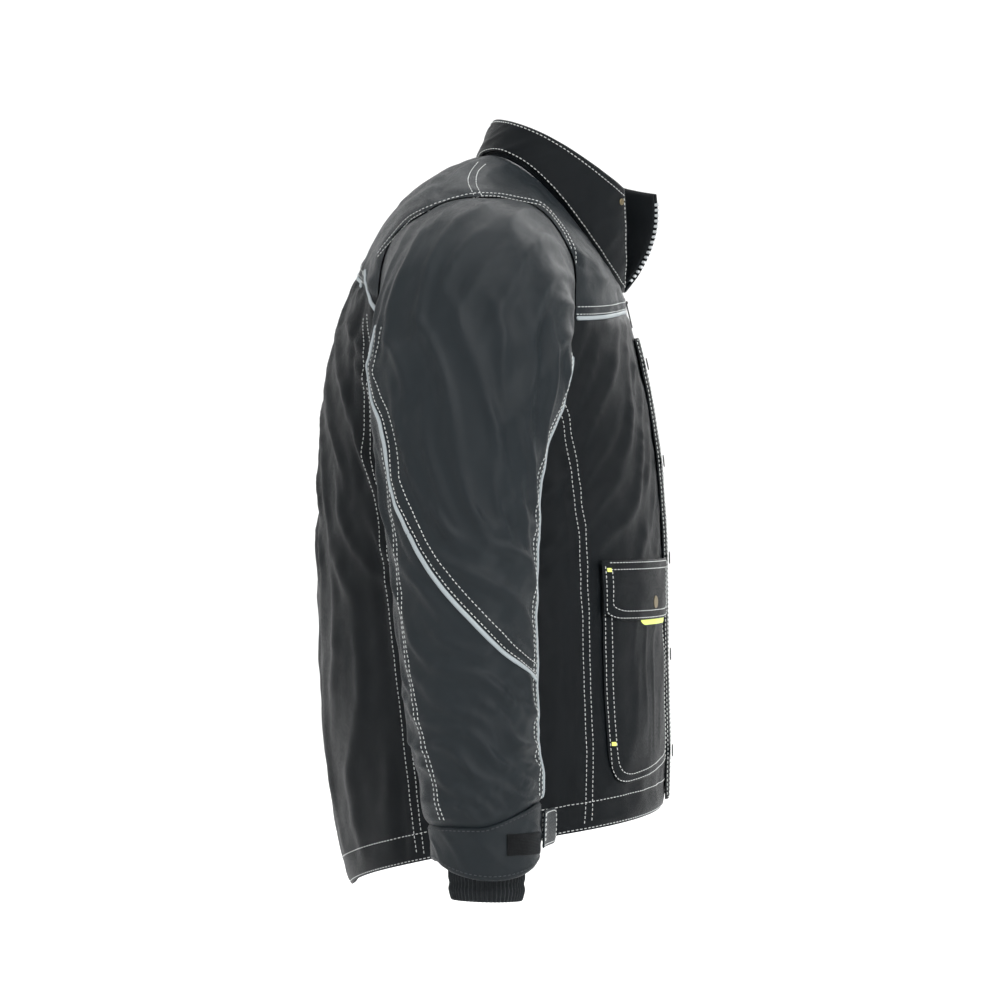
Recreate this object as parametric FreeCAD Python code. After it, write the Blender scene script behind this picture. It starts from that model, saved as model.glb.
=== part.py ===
"""Insulated work coat with a stand-up collar, held open as on a body, built as an assembly of its cut pieces.

Millimetres. The origin is where a hook bears on the hanger loop inside the back of the neck.
+Z is up, -Y is the wearer's front and +X is the wearer's left.
Every pattern piece is a plate: a patch of the coat's surface between two depths. Depth is measured
outwards from the face of the shell cloth, so the layers below it have negative depths.
"""
import FreeCAD, Part
import math
import os

Vector = FreeCAD.Vector
LEFT, RIGHT = 1, -1
SIDES = (("left", LEFT), ("right", RIGHT))

# Layers, as (inner depth, outer depth) from the outside face of the shell cloth.
SHELL = (-1.5, 0.0)
WADDING = (-6.6, -2.2)
LINING = (-8.8, -7.4)
PATCH_POCKET = (0.3, 2.1)
POCKET_STUD = (2.2, 3.2)
POCKET_FLAP = (3.6, 5.8)
FLAP_PULL = (2.8, 3.4)
STORM_BAND = (0.3, 2.3)
STORM_FLAP = (4.6, 6.6)
FRONT_STUD = (0.1, 2.2)
STORM_SOCKET = (2.5, 3.4)
ZIP_TAPE = (-4.6, -3.8)
COLLAR_OUTER = (-2.0, 0.0)
COLLAR_LINING = (-7.6, -5.6)
PIPING = (0.2, 2.6)
SLEEVE_WADDING = (-6.6, -3.0)
CUFF = (-4.6, 0.0)
CUFF_PATCH = (0.3, 1.5)

# Body rings from hem to neck. Heights at the front, side and back, half the width, the front and back
# edges, the middle of the section, and the exponent that squares the section off.
RINGS = (
    # front   side    back   half   front  back  middle  square
    (-657.0, -680.0, -746.0, 222.0, -184.0, 147.0, -18.0, 2.5),
    (-600.0, -616.0, -662.0, 222.0, -185.0, 161.0, -12.0, 2.5),
    (-500.0, -506.0, -522.0, 222.0, -183.0, 173.0, -5.0, 2.5),
    (-400.0, -400.0, -402.0, 220.0, -182.0, 176.0, -3.0, 2.5),
    (-310.0, -320.0, -310.0, 219.0, -177.0, 175.0, -1.0, 2.45),
    (-250.0, -262.0, -240.0, 221.0, -169.0, 171.0, 0.0, 2.4),
    (-194.0, -208.0, -170.0, 224.0, -158.0, 160.0, 0.0, 2.35),
    (-144.0, -158.0, -101.0, 230.0, -145.0, 134.0, 0.0, 2.3),
    (-140.5, -108.0, -78.0, 236.0, -144.4, 121.0, 2.0, 2.25),
    (-137.5, -68.0, -56.0, 231.0, -143.8, 104.0, 2.0, 2.2),
    (-134.5, -42.0, -34.0, 202.0, -143.2, 83.0, -4.0, 2.15),
    (-131.5, -20.0, -13.0, 147.0, -142.6, 54.0, -22.0, 2.1),
    (-128.5, -2.0, 4.0, 88.0, -142.0, 15.0, -45.0, 2.0),
)
YOKE_RING, NECK_RING = 7, 12

# Collar rings from the neck seam to the top edge, in the same columns.
COLLAR_RINGS = (
    (-124.0, 2.0, 8.0, 88.0, -143.0, 15.0, -45.0, 2.0),
    (-90.0, 13.0, 23.0, 86.0, -147.0, 10.0, -50.0, 2.0),
    (-56.0, 25.0, 40.0, 84.0, -150.0, 3.0, -55.0, 2.05),
    (-22.0, 36.0, 57.0, 82.0, -151.0, -5.0, -60.0, 2.1),
)
COLLAR_OPEN_ANGLES = (2.0, 22.0)  # of the front edges from the middle, at the seam and at the top
COLLAR_FLARE = 90.0  # how far the left collar end leans forward
COLLAR_FLARE_ANGLE = 55.0

# Seams of the body, as angles from the front middle at each ring, on either side.
FRONT_SEAM = (70.0, 69.0, 66.5, 65.6, 67.0, 71.0, 71.0, 68.0)
BACK_SEAM = (113.5, 113.0, 113.5, 117.5, 123.0, 127.5, 129.0, 131.0)
SHOULDER_SEAM = ((88.0, 8.5), (124.0, 12.0))  # angle and ring at the armhole and at the neck
CENTRE_GAP = 7.0  # from the middle of the front to either front edge, under the zip

# Armhole, an ellipse seen from the side.
ARMHOLE_Y, ARMHOLE_Z = -6.0, -146.0
ARMHOLE_HALF_Y, ARMHOLE_HALF_Z = 95.0, 104.0

# Sleeve rings, as (outer w, outer z, inner w, inner z, half depth, middle y), where w is outwards from
# the middle of the coat. The rings fan round the armpit, and then go down the arm.
SLEEVE_RINGS = (
    (217.0, -47.0, 226.0, -245.0, 91.0, -6.0),
    (262.0, -57.0, 231.0, -254.0, 94.0, -5.0),
    (300.0, -88.0, 234.5, -262.0, 97.0, -3.0),
    (328.0, -138.0, 237.0, -270.0, 98.5, -1.0),
    (346.0, -200.0, 239.0, -281.0, 94.5, 2.0),
    (358.0, -262.0, 241.0, -298.0, 86.0, 7.0),
    (366.0, -333.0, 246.0, -338.0, 76.5, 7.5),
    (372.0, -405.0, 253.0, -405.0, 71.0, 3.0),
    (377.0, -478.0, 262.0, -478.0, 66.5, 0.0),
    (381.0, -545.0, 272.0, -545.0, 63.5, -5.0),
    (383.0, -605.0, 281.0, -605.0, 58.0, -12.0),
    (383.0, -648.0, 286.0, -652.0, 53.0, -18.0),
    (381.0, -700.0, 288.0, -704.0, 49.5, -20.0),
)
OUTER_ANGLES = (6.15, 149.85)  # the outer piece, round the arm from 0 at the front and 90 outside
UNDER_ANGLES = (150.15, 365.85)
SLEEVE_TOP, UPPER_END, ELBOW_END, CUFF_SEAM, CUFF_END = 0.0, 6.55, 8.4, 11.0, 12.0
UPPER_START = 5.0
SECTION_GAP = 0.02  # between one section of the sleeve and the next, in rings
RIB_LENGTH, RIB_TUCK, RIB_INSET = 40.0, 22.0, 11.0

# Lower front pockets, as angles from the front middle and heights.
POCKET_ANGLES = (14.0, 57.0)
POCKET_TOP, POCKET_BOTTOM = -412.0, -616.0
FLAP_TOP, FLAP_BOTTOM = -400.0, -460.0
PULL_HALF_ANGLE, PULL_SHIFT, PULL_DROP = 12.0, -3.0, 6.0

# Zip, storm flap and studs.
TOOTH_PITCH, TOOTH_WIDE, TOOTH_LONG, TOOTH_THICK = 6.0, 4.4, 2.6, 2.2
TOOTH_DEPTH = -4.2
ZIP_OPEN_RING = 10.2  # where the teeth stop meshing, below the slider's post
ZIP_PARTED_RING = 12.35  # where the parted rows start, on the collar
TAPE_EDGES = (3.5, 13.5)
STORM_HINGE_X, STORM_ROOT_X, STORM_FREE_X, STORM_STUD_X = 32.0, 17.0, -32.0, -23.0
STORM_TOP, STORM_BOTTOM = -172.0, -650.0
STUD_RADIUS, CAP_RADIUS, CAP_THICK = 4.2, 6.3, 1.4
STORM_STUD_HEIGHTS = (-200.0, -300.0, -400.0, -500.0, -600.0)

# Cuff tab, with its direction at rest as an angle inwards from straight ahead.
TAB_LENGTH, TAB_THICK, TAB_REST = 50.0, 2.2, 80.0
TAB_RINGS = (10.62, 11.34)

# Hanger loop.
LOOP_HALF, LOOP_WIDE, LOOP_THICK = 32.0, 8.0, 1.6


def slope(before, after):
    """The slope at a ring between two steps, which never carries the curve past a ring."""
    return 2 * before * after / (before + after) if before * after > 0 else 0.0


def spline(rows, at):
    """The columns of rows at a ring number with a fraction, by a curve that does not overshoot."""
    last = len(rows) - 1
    at = min(max(at, 0.0), float(last))
    i = min(int(at), last - 1)
    f = at - i
    values = []
    for column in range(len(rows[0])):
        b, c = rows[i][column], rows[i + 1][column]
        a = rows[i - 1][column] if i > 0 else 2 * b - c
        d = rows[i + 2][column] if i + 2 <= last else 2 * c - b
        m, n = slope(b - a, c - b), slope(c - b, d - c)
        values.append(b + f * (m + f * (3 * (c - b) - 2 * m - n + f * (m + n - 2 * (c - b)))))
    return values


def on_ring(rows, angle, ring):
    """A point of the surface that rings make. Angle 0 is the front, 90 the left and 180 the back."""
    front_z, side_z, back_z, half, front, back, middle, square = spline(rows, ring)
    turn = math.radians(angle)
    across, ahead = math.sin(turn), math.cos(turn)
    depth = (middle - front) if ahead > 0 else (back - middle)
    reach = (abs(across / half) ** square + abs(ahead / depth) ** square) ** (-1.0 / square)
    z = side_z + (front_z - back_z) / 2 * ahead + ((front_z + back_z) / 2 - side_z) * ahead * ahead
    return Vector(reach * across, middle - reach * ahead, z)


def lifted(point, u, v, depth, step_u, step_v, outward):
    """The point of a surface at u, v, moved along its outward normal by depth."""
    p = point(u, v)
    du = point(u + step_u, v) - point(u - step_u, v)
    dv = point(u, v + step_v) - point(u, v - step_v)
    normal = du.cross(dv)
    normal.normalize()
    return p + normal * (depth * outward)


def body_point(angle, ring, depth=0.0):
    """The coat's body at an angle and ring, lifted by depth."""
    ring = min(max(ring, 0.01), NECK_RING - 0.01)
    return lifted(lambda u, v: on_ring(RINGS, u, v), angle, ring, depth, 0.05, 0.01, 1)


def collar_point(angle, ring, depth=0.0):
    """The collar at an angle and ring. Its left end leans forward towards the top."""
    ring = min(max(ring, 0.01), len(COLLAR_RINGS) - 1.01)

    def plain(u, v):
        p = on_ring(COLLAR_RINGS, u, v)
        lean = max(0.0, 1 - abs(u) / COLLAR_FLARE_ANGLE) if u > 0 else 0.0
        p.y -= COLLAR_FLARE * lean * lean * v / (len(COLLAR_RINGS) - 1)
        return p

    return lifted(plain, angle, ring, depth, 0.05, 0.01, 1)


def sleeve_point(side, angle, ring, depth=0.0):
    """A sleeve at an angle round the arm, 0 at the front and 90 outside, and a ring down it."""
    ring = min(max(ring, 0.01), len(SLEEVE_RINGS) - 1.01)

    def plain(u, v):
        outer_w, outer_z, inner_w, inner_z, half, middle = spline(SLEEVE_RINGS, v)
        turn = math.radians(u)
        outside = math.sin(turn)
        w = (outer_w + inner_w) / 2 + outside * (outer_w - inner_w) / 2
        z = (outer_z + inner_z) / 2 + outside * (outer_z - inner_z) / 2
        return Vector(side * w, middle - half * math.cos(turn), z)

    return lifted(plain, angle, ring, depth, 0.05, 0.01, -side)


def ring_at_height(angle, z):
    """The body ring whose height at an angle is z, by halving."""
    low, high = 0.0, float(YOKE_RING)
    for _ in range(30):
        mid = (low + high) / 2
        low, high = (mid, high) if on_ring(RINGS, angle, mid).z < z else (low, mid)
    return (low + high) / 2


def angle_at_width(x, ring):
    """The angle, near the front middle, whose point on a ring is x from the middle."""
    low, high = 0.0, 60.0
    for _ in range(30):
        mid = (low + high) / 2
        low, high = (mid, high) if on_ring(RINGS, mid, ring).x < x else (low, mid)
    return (low + high) / 2


def seam_angle(seam, ring):
    """The angle of a seam at a ring."""
    return spline([(a,) for a in seam], ring)[0]


def mix(a, b, share):
    return a + (b - a) * share


def shoulder_angle(ring):
    """The angle of the shoulder seam at a ring."""
    (low, start), (high, end) = SHOULDER_SEAM
    return mix(low, high, min(max((ring - start) / (end - start), 0.0), 1.0))


def solid_of(faces):
    """One closed solid from its faces."""
    shape = Part.Compound(faces)
    shape.sewShape(0.01)
    solid = Part.Solid(shape.Shells[0])
    if solid.Volume < 0:
        solid.reverse()
    return solid


def plate(place, layer, columns, rows):
    """A patch of a surface between two depths. place(s, t, depth) maps the unit square to points."""
    skins = []
    for depth in layer:
        grid = [
            [place(i / (columns - 1), j / (rows - 1), depth) for j in range(rows)]
            for i in range(columns)
        ]
        skin = Part.BSplineSurface()
        skin.interpolate(grid)
        skins.append(skin)
    faces = [skin.toShape() for skin in skins]
    u0, u1, v0, v1 = skins[0].bounds()
    for u in (u0, u1):
        faces.append(Part.makeRuledSurface(*[skin.uIso(u).toShape() for skin in skins], 1))
    for v in (v0, v1):
        faces.append(Part.makeRuledSurface(*[skin.vIso(v).toShape() for skin in skins], 1))
    return solid_of(faces)


def body_panel(start, end, low, high, layer, columns=9, rows=12):
    """A body plate between two edge angles and two rings, each a function: start(ring), low(share)."""

    def place(s, t, depth):
        ring = mix(low(s), high(s), t)
        return body_point(mix(start(ring), end(ring), s), ring, depth)

    return plate(place, layer, columns, rows)


def level(ring):
    return lambda share: ring


def armhole_cutter():
    """An elliptical bar across the coat that opens both armholes, leaving the middle alone."""
    bars = []
    for _, side in SIDES:
        wire = Part.Wire(Part.Ellipse(Vector(0, 0, 0), ARMHOLE_HALF_Z, ARMHOLE_HALF_Y).toShape())
        face = Part.Face(wire)
        face.rotate(Vector(0, 0, 0), Vector(0, 1, 0), 90)
        face.translate(Vector(side * 120.0, ARMHOLE_Y, ARMHOLE_Z))
        bars.append(face.extrude(Vector(side * 150.0, 0, 0)))
    return bars[0].fuse(bars[1])


def body_layer(layer, inset=0.0):
    """The pieces of one layer of the body: fronts, sides, back and yokes. inset opens the seams."""
    def front(side):
        return lambda ring: side * (angle_at_width(CENTRE_GAP, ring) + inset)

    def seam(angles, side, shift=0.0):
        return lambda ring: side * (seam_angle(angles, min(ring, YOKE_RING)) + shift)

    gap = 0.02
    pieces = {}
    top = level(YOKE_RING - gap)
    for name, side in SIDES:
        pieces[f"front_panel_{name}"] = body_panel(
            front(side), seam(FRONT_SEAM, side, -gap), level(0), top, layer
        )
        pieces[f"side_panel_{name}"] = body_panel(
            seam(FRONT_SEAM, side, gap), seam(BACK_SEAM, side, -gap), level(0), top, layer
        )
        pieces[f"front_yoke_{name}"] = body_panel(
            front(side), lambda ring, side=side: side * (shoulder_angle(ring) - 0.3), level(YOKE_RING + gap),
            level(NECK_RING), layer, 17, 7
        )
    pieces["back_panel"] = body_panel(
        seam(BACK_SEAM, LEFT, gap), lambda ring: 360.0 - seam_angle(BACK_SEAM, min(ring, YOKE_RING)) - gap,
        level(0), top, layer, 17
    )
    pieces["back_yoke"] = body_panel(
        lambda ring: shoulder_angle(ring) + 0.3, lambda ring: 359.7 - shoulder_angle(ring), level(YOKE_RING + gap),
        level(NECK_RING), layer, 33, 11
    )
    for name, _ in SIDES:
        pieces[f"front_yoke_{name}"] = pieces[f"front_yoke_{name}"].cut(pieces["back_yoke"])
    cutter = armhole_cutter()
    for name, piece in pieces.items():
        if piece.BoundBox.XMin < -190 or piece.BoundBox.XMax > 190:
            cut = piece.cut(cutter)
            pieces[name] = max(cut.Solids, key=lambda s: s.Volume)
    return pieces


def on_side(y, z, side):
    """The point of the body's side at a depth from front to back and a height, by halving in turn."""
    angle, ring = 90.0, 6.0
    for _ in range(8):
        low, high = 35.0, 150.0
        for _ in range(24):
            angle = (low + high) / 2
            low, high = (angle, high) if on_ring(RINGS, angle, ring).y < y else (low, angle)
        low, high = 3.0, 11.0
        for _ in range(24):
            ring = (low + high) / 2
            low, high = (ring, high) if on_ring(RINGS, angle, ring).z < z else (low, ring)
    p = on_ring(RINGS, angle, ring)
    return Vector(side * p.x, p.y, p.z)


def armhole_widths():
    """How far out the armhole's edge is at steps of 15 degrees round it."""
    out = []
    for step in range(24):
        turn = math.radians(15 * step)
        y = ARMHOLE_Y - (ARMHOLE_HALF_Y - 1) * math.cos(turn)
        out.append(on_side(y, ARMHOLE_Z + (ARMHOLE_HALF_Z - 1) * math.sin(turn), LEFT).x)
    return out


ARMHOLE_WIDTHS = armhole_widths()


def sleeve_surface(side, angle, ring):
    """A sleeve without depth: the rings, drawn to the armhole's edge over the first two of them."""
    outer_w, outer_z, inner_w, inner_z, half, middle = spline(SLEEVE_RINGS, ring)
    turn = math.radians(angle)
    outside, ahead = math.sin(turn), math.cos(turn)
    w = (outer_w + inner_w) / 2 + outside * (outer_w - inner_w) / 2
    z = (outer_z + inner_z) / 2 + outside * (outer_z - inner_z) / 2
    y = middle - half * ahead
    if ring < 2.0:
        at = angle / 15.0
        i = math.floor(at)
        a, b = ARMHOLE_WIDTHS[i % 24], ARMHOLE_WIDTHS[(i + 1) % 24]
        share = (1 - ring / 2.0) ** 2
        w = mix(w, mix(a, b, at - i) + 1.0, share)
        z = mix(z, ARMHOLE_Z + (ARMHOLE_HALF_Z - 2) * outside, share)
        y = mix(y, ARMHOLE_Y - (ARMHOLE_HALF_Y - 2) * ahead, share)
    return Vector(side * w, y, z)


def sleeve_point(side, angle, ring, depth=0.0):
    """A sleeve at an angle round the arm, 0 at the front and 90 outside, and a ring down it."""
    ring = min(max(ring, 0.01), len(SLEEVE_RINGS) - 1.01)
    return lifted(lambda u, v: sleeve_surface(side, u, v), angle, ring, depth, 0.5, 0.01, -side)


def sleeve_panel(side, angles, rings, layer, columns=13, rows=7):
    """A pattern piece of a sleeve between two angles and two rings."""
    return plate(
        lambda s, t, d: sleeve_point(side, mix(*angles, s), mix(*rings, t), d), layer, columns, rows
    )


def sleeve_tube(side, rings, layer, rows):
    """A whole length of sleeve: its outer piece and the piece under the arm."""
    return Part.Compound([
        sleeve_panel(side, OUTER_ANGLES, rings, layer, 15, rows),
        sleeve_panel(side, UNDER_ANGLES, rings, layer, 15, rows),
    ])


def below_cuff(side, angle, drop, depth):
    """A point of the rib, which goes straight down from the cuff's end. Negative drops are above it."""
    p = sleeve_point(side, angle, CUFF_END, -RIB_INSET + depth)
    p.z -= drop
    return p


def rib_cuff(side):
    """The knitted cuff, tucked up inside the sleeve's end."""
    halves = []
    for start, end in (OUTER_ANGLES, UNDER_ANGLES):
        halves.append(plate(
            lambda s, t, d: below_cuff(side, mix(start, end, s), mix(RIB_LENGTH - RIB_TUCK, -RIB_TUCK, t), d),
            (-3.0, 0.0), 15, 4
        ))
    return Part.Compound(halves)


def sleeve_pieces(name, side):
    """Every piece of one sleeve, from the armhole to the rib."""
    g = SECTION_GAP
    upper = (UPPER_START + g, UPPER_END - g)
    forearm = (ELBOW_END + g, CUFF_SEAM - g)
    return {
        f"sleeve_head_{name}": sleeve_tube(side, (SLEEVE_TOP, UPPER_START - g), SHELL, 9),
        f"sleeve_elbow_{name}": sleeve_tube(side, (UPPER_END + g, ELBOW_END - g), SHELL, 7),
        f"upper_sleeve_outer_{name}": sleeve_panel(side, OUTER_ANGLES, upper, SHELL),
        f"upper_sleeve_under_{name}": sleeve_panel(side, UNDER_ANGLES, upper, SHELL),
        f"forearm_outer_{name}": sleeve_panel(side, OUTER_ANGLES, forearm, SHELL),
        f"forearm_under_{name}": sleeve_panel(side, UNDER_ANGLES, forearm, SHELL),
        f"forearm_wadding_{name}": sleeve_tube(side, forearm, SLEEVE_WADDING, 6),
        f"cuff_{name}": sleeve_tube(side, (CUFF_SEAM + g, CUFF_END - 0.05), CUFF, 4),
        f"cuff_patch_{name}": sleeve_panel(side, (12.0, 58.0), (11.15, 11.5), CUFF_PATCH, 7, 4),
        f"rib_cuff_{name}": rib_cuff(side),
        f"cuff_tab_{name}": cuff_tab(side),
    }


def cuff_tab_hinge(side):
    """The seam that the cuff tab turns about: its middle and its direction, down the cuff's front."""
    top = sleeve_point(side, 0.0, TAB_RINGS[0], 3.0)
    foot = sleeve_point(side, 0.0, TAB_RINGS[1], 3.0)
    return (top + foot) * 0.5, foot - top


def cuff_tab(side):
    """The tab's free part, standing forward and a little inwards from its seam."""
    middle, along = cuff_tab_hinge(side)
    long = along.Length / 2
    along.normalize()
    out = Vector(-side * math.sin(math.radians(TAB_REST)), -math.cos(math.radians(TAB_REST)), 0)
    across = out.cross(along)
    across.normalize()
    corners = []
    for reach, half in ((2.0, long), (TAB_LENGTH - 6, long), (TAB_LENGTH, long - 6)):
        corners.append((reach, half))
    outline = [(r, h) for r, h in corners] + [(r, -h) for r, h in reversed(corners)]
    points = [middle + out * r + along * h - across * (TAB_THICK / 2) for r, h in outline]
    face = Part.Face(Part.makePolygon(points + points[:1]))
    return face.extrude(across * TAB_THICK)


def on_chest(angle, z, depth):
    """A point on the front at an angle and about a height."""
    return body_point(angle, ring_at_height(abs(angle), z), depth)


def chest_patch(side, angles, top, bottom, layer, columns=9, rows=6):
    """A patch on the front between two angles and two heights."""
    return plate(
        lambda s, t, d: on_chest(side * mix(angles[0], angles[1], s), mix(bottom, top, t), d),
        layer, columns, rows
    )


def disc(centre, normal, radius, start, end):
    """A round stud or cap along its normal."""
    normal.normalize()
    return Part.makeCylinder(radius, end - start, centre + normal * start, normal)


def chest_disc(angle, z, radius, start, end):
    foot, tip = on_chest(angle, z, 0.0), on_chest(angle, z, 1.0)
    return disc(foot, tip - foot, radius, start, end)


def pocket_flap(side):
    """The flap's free part. Its lower corners are cut off."""
    a0, a1 = POCKET_ANGLES
    cut = 7.0

    def place(s, t, d):
        corner = 1.0 - min(1.0, min(s, 1 - s) / 0.12)
        low = FLAP_BOTTOM + cut * corner
        return on_chest(side * mix(a0, a1, s), mix(low, FLAP_TOP, t), d)

    return plate(place, POCKET_FLAP, 17, 5)


def pocket_hinge(side):
    """The line the flap turns about: level, along the flap's chord, touching its farthest bulge."""
    top = [on_chest(side * mix(*POCKET_ANGLES, k / 20), FLAP_TOP, POCKET_FLAP[1]) for k in range(21)]
    along = top[-1] - top[0]
    along.z = 0
    along.normalize()
    out = Vector(0, 0, 1).cross(along)
    if out.y > 0:
        out = out * -1
    far = max(top, key=lambda p: p.dot(out))
    return far + out * 0.5, along


def pocket_pieces(name, side):
    a0, a1 = POCKET_ANGLES
    middle = mix(a0, a1, 0.44)
    stud_z = FLAP_BOTTOM + 17.0
    pull = (middle + PULL_SHIFT - PULL_HALF_ANGLE, middle + PULL_SHIFT + PULL_HALF_ANGLE)
    return {
        f"pocket_{name}": chest_patch(side, (a0, a1), POCKET_TOP, POCKET_BOTTOM, PATCH_POCKET, 13, 9),
        f"pocket_flap_{name}": pocket_flap(side),
        f"flap_pull_{name}": chest_patch(
            side, pull, FLAP_BOTTOM + 7, FLAP_BOTTOM - PULL_DROP, FLAP_PULL, 5, 3),
        f"flap_cap_{name}": chest_disc(
            side * middle, stud_z, CAP_RADIUS, POCKET_FLAP[1], POCKET_FLAP[1] + CAP_THICK),
    }


def front_line(side, ring, width, depth):
    """A point of the front at a width from the middle, on the body up to the neck and then the collar."""
    if ring <= NECK_RING:
        return body_point(side * angle_at_width(width, ring), ring, depth)
    level_up = ring - NECK_RING
    base = mix(*COLLAR_OPEN_ANGLES, level_up / (len(COLLAR_RINGS) - 1))
    return collar_point(side * (base + (width - CENTRE_GAP) * 0.55), level_up, depth)


def front_lengths(side):
    """The zip's line up one side, as (distance from the hem, ring, point)."""
    rows = []
    far = 0.0
    last = None
    for k in range(301):
        ring = 0.15 + k * (NECK_RING + 2.85 - 0.15) / 300
        p = front_line(side, ring, 0.0 if ring < ZIP_OPEN_RING else CENTRE_GAP, TOOTH_DEPTH)
        if last is not None:
            far += (p - last).Length
        rows.append((far, ring, p))
        last = p
    return rows


def zip_teeth(side):
    """One side's teeth, each a small block. They interlock up to the collar and part above it."""
    rows = front_lengths(side)
    teeth = []
    at = 2.0 if side == LEFT else 2.0 + TOOTH_PITCH / 2
    k = 1
    while at < rows[-1][0] - 2:
        while rows[k][0] < at:
            k += 1
        foot, tip = rows[k - 1][2], rows[k][2]
        along = tip - foot
        along.normalize()
        share = (at - rows[k - 1][0]) / (rows[k][0] - rows[k - 1][0])
        middle = mix(foot, tip, share)
        ring = rows[k][1]
        if ZIP_OPEN_RING < ring < ZIP_PARTED_RING:
            at += TOOTH_PITCH
            continue
        width = 0.0 if ring < ZIP_OPEN_RING else CENTRE_GAP
        out = front_line(side, ring, width, 0.0) - front_line(side, ring, width, -1.0)
        across = along.cross(out) * side
        if across.x * side < 0:
            across = across * -1
        across.normalize()
        out = across.cross(along)
        out.normalize()
        start = middle + across * (-1.2 if ring < ZIP_OPEN_RING else -3.0)
        start = start - along * (TOOTH_LONG / 2) - out * (TOOTH_THICK / 2)
        block = Part.makeBox(TOOTH_WIDE, TOOTH_LONG, TOOTH_THICK)
        turn = FreeCAD.Rotation(across, along, out, "ZXY")
        block.Placement = FreeCAD.Placement(start, turn)
        teeth.append(block)
        at += TOOTH_PITCH
    return Part.Compound(teeth)


def slider_frame():
    """The slider's middle at rest and its direction down the chest."""
    top = body_point(0.0, ring_of_front(-134.0), TOOTH_DEPTH)
    foot = body_point(0.0, ring_of_front(-222.0), TOOTH_DEPTH)
    down = foot - top
    down.normalize()
    return top, down


def ring_of_front(z):
    """The ring whose front is at a height."""
    low, high = 0.0, float(NECK_RING)
    for _ in range(30):
        mid = (low + high) / 2
        low, high = (mid, high) if on_ring(RINGS, 0.0, mid).z < z else (low, mid)
    return (low + high) / 2


def bar(origin, axes, low, high):
    """A box between two corners in a frame of three axes at an origin."""
    across, along, out = axes
    block = Part.makeBox(*[b - a for a, b in zip(low, high)])
    corner = origin + across * low[0] + along * low[1] + out * low[2]
    block.Placement = FreeCAD.Placement(corner, FreeCAD.Rotation(across, along, out, "ZXY"))
    return block


def zip_slider():
    """Two plates joined by a post between the parted teeth, with an eye for the pull in front."""
    origin, down = slider_frame()
    across = Vector(1, 0, 0)
    out = across.cross(down)
    out = out if out.y < 0 else out * -1
    axes = (across, out.cross(across), out)
    body = bar(origin, axes, (-5.3, -7.0, 1.9), (5.3, 7.0, 3.3))
    body = body.fuse(bar(origin, axes, (-5.3, -7.0, -3.2), (5.3, 7.0, -1.8)))
    body = body.fuse(bar(origin, axes, (-1.2, 4.4, -2.0), (1.2, 6.8, 2.0)))
    for x in (-3.2, 1.8):
        body = body.fuse(bar(origin, axes, (x, -1.6, 3.2), (x + 1.4, 1.6, 6.6)))
    pin = Part.makeCylinder(0.5, 3.8, origin - across * 1.9 + out * 5.6, across)
    return body.fuse(pin).removeSplitter()


def zip_pull():
    """The pull, hanging from the slider's pin."""
    origin, down = slider_frame()
    across = Vector(1, 0, 0)
    out = across.cross(down)
    out = out if out.y < 0 else out * -1
    axes = (across, out.cross(across), out)
    at = origin + out * 5.6
    eye = Part.makeCylinder(1.9, 2.8, at - across * 1.4, across)
    stem = bar(at, axes, (-1.4, -9.0, -0.7), (1.4, 0.0, 0.7))
    tag = bar(at, axes, (-3.2, -27.0, -0.7), (3.2, -8.0, 0.7))
    hole = Part.makeCylinder(1.0, 3.0, at - across * 1.5, across)
    return eye.fuse([stem, tag]).cut(hole)


def chest_at(x, z, depth):
    """A point on the front at a width from the middle and about a height."""
    ring = ring_of_front(z)
    angle = angle_at_width(abs(x), ring)
    return body_point(math.copysign(angle, x), ring, depth)


def front_strip(x0, x1, top, bottom, layer, columns, rows):
    """A strip down the front between two widths."""
    return plate(
        lambda s, t, d: chest_at(mix(x0, x1, s), mix(bottom, top, t), d), layer, columns, rows
    )


def discs_down_front(x, layer, radius):
    out = []
    for z in STORM_STUD_HEIGHTS:
        foot, tip = chest_at(x, z, 0.0), chest_at(x, z, 1.0)
        out.append(disc(foot, tip - foot, radius, *layer))
    return out


def storm_hinge():
    """The storm flap's turning line, straight down the front beside the zip."""
    x = STORM_HINGE_X
    top, foot = chest_at(x, STORM_TOP, 0.0), chest_at(x, STORM_BOTTOM, 0.0)
    return foot + Vector(0, -9.0, 0), top - foot


def piping(angles):
    """Piping along the yoke seam between two angles."""
    half = 0.026
    strip = body_panel(
        lambda ring: angles[0], lambda ring: angles[1],
        level(YOKE_RING - half), level(YOKE_RING + half), PIPING, 25, 2
    )
    return strip.cut(armhole_cutter()).Solids


def collar_plate(layer, inset):
    """The collar, all the way round from one front edge to the other."""
    top = len(COLLAR_RINGS) - 1

    def place(s, t, d):
        edge = mix(*COLLAR_OPEN_ANGLES, t) + inset
        return collar_point(mix(edge, 360 - edge, s) if s <= 0.5 else mix(edge, 360 - edge, s) - 360,
                            mix(0.02, top - 0.02, t), d)

    return plate(place, layer, 33, 6)


def hanger_loop():
    """A flat strap whose middle stands up for a hook. Its ends are sewn in at the neck."""

    def place(s, t, d):
        x = mix(-LOOP_HALF, LOOP_HALF, s)
        share = abs(x) / LOOP_HALF
        return Vector(x, mix(-0.5, 0.5, t) * LOOP_WIDE + 5.0 * share ** 2, d - 9.0 * share ** 2.5)

    return plate(place, (0.0, LOOP_THICK), 17, 3)


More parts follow.
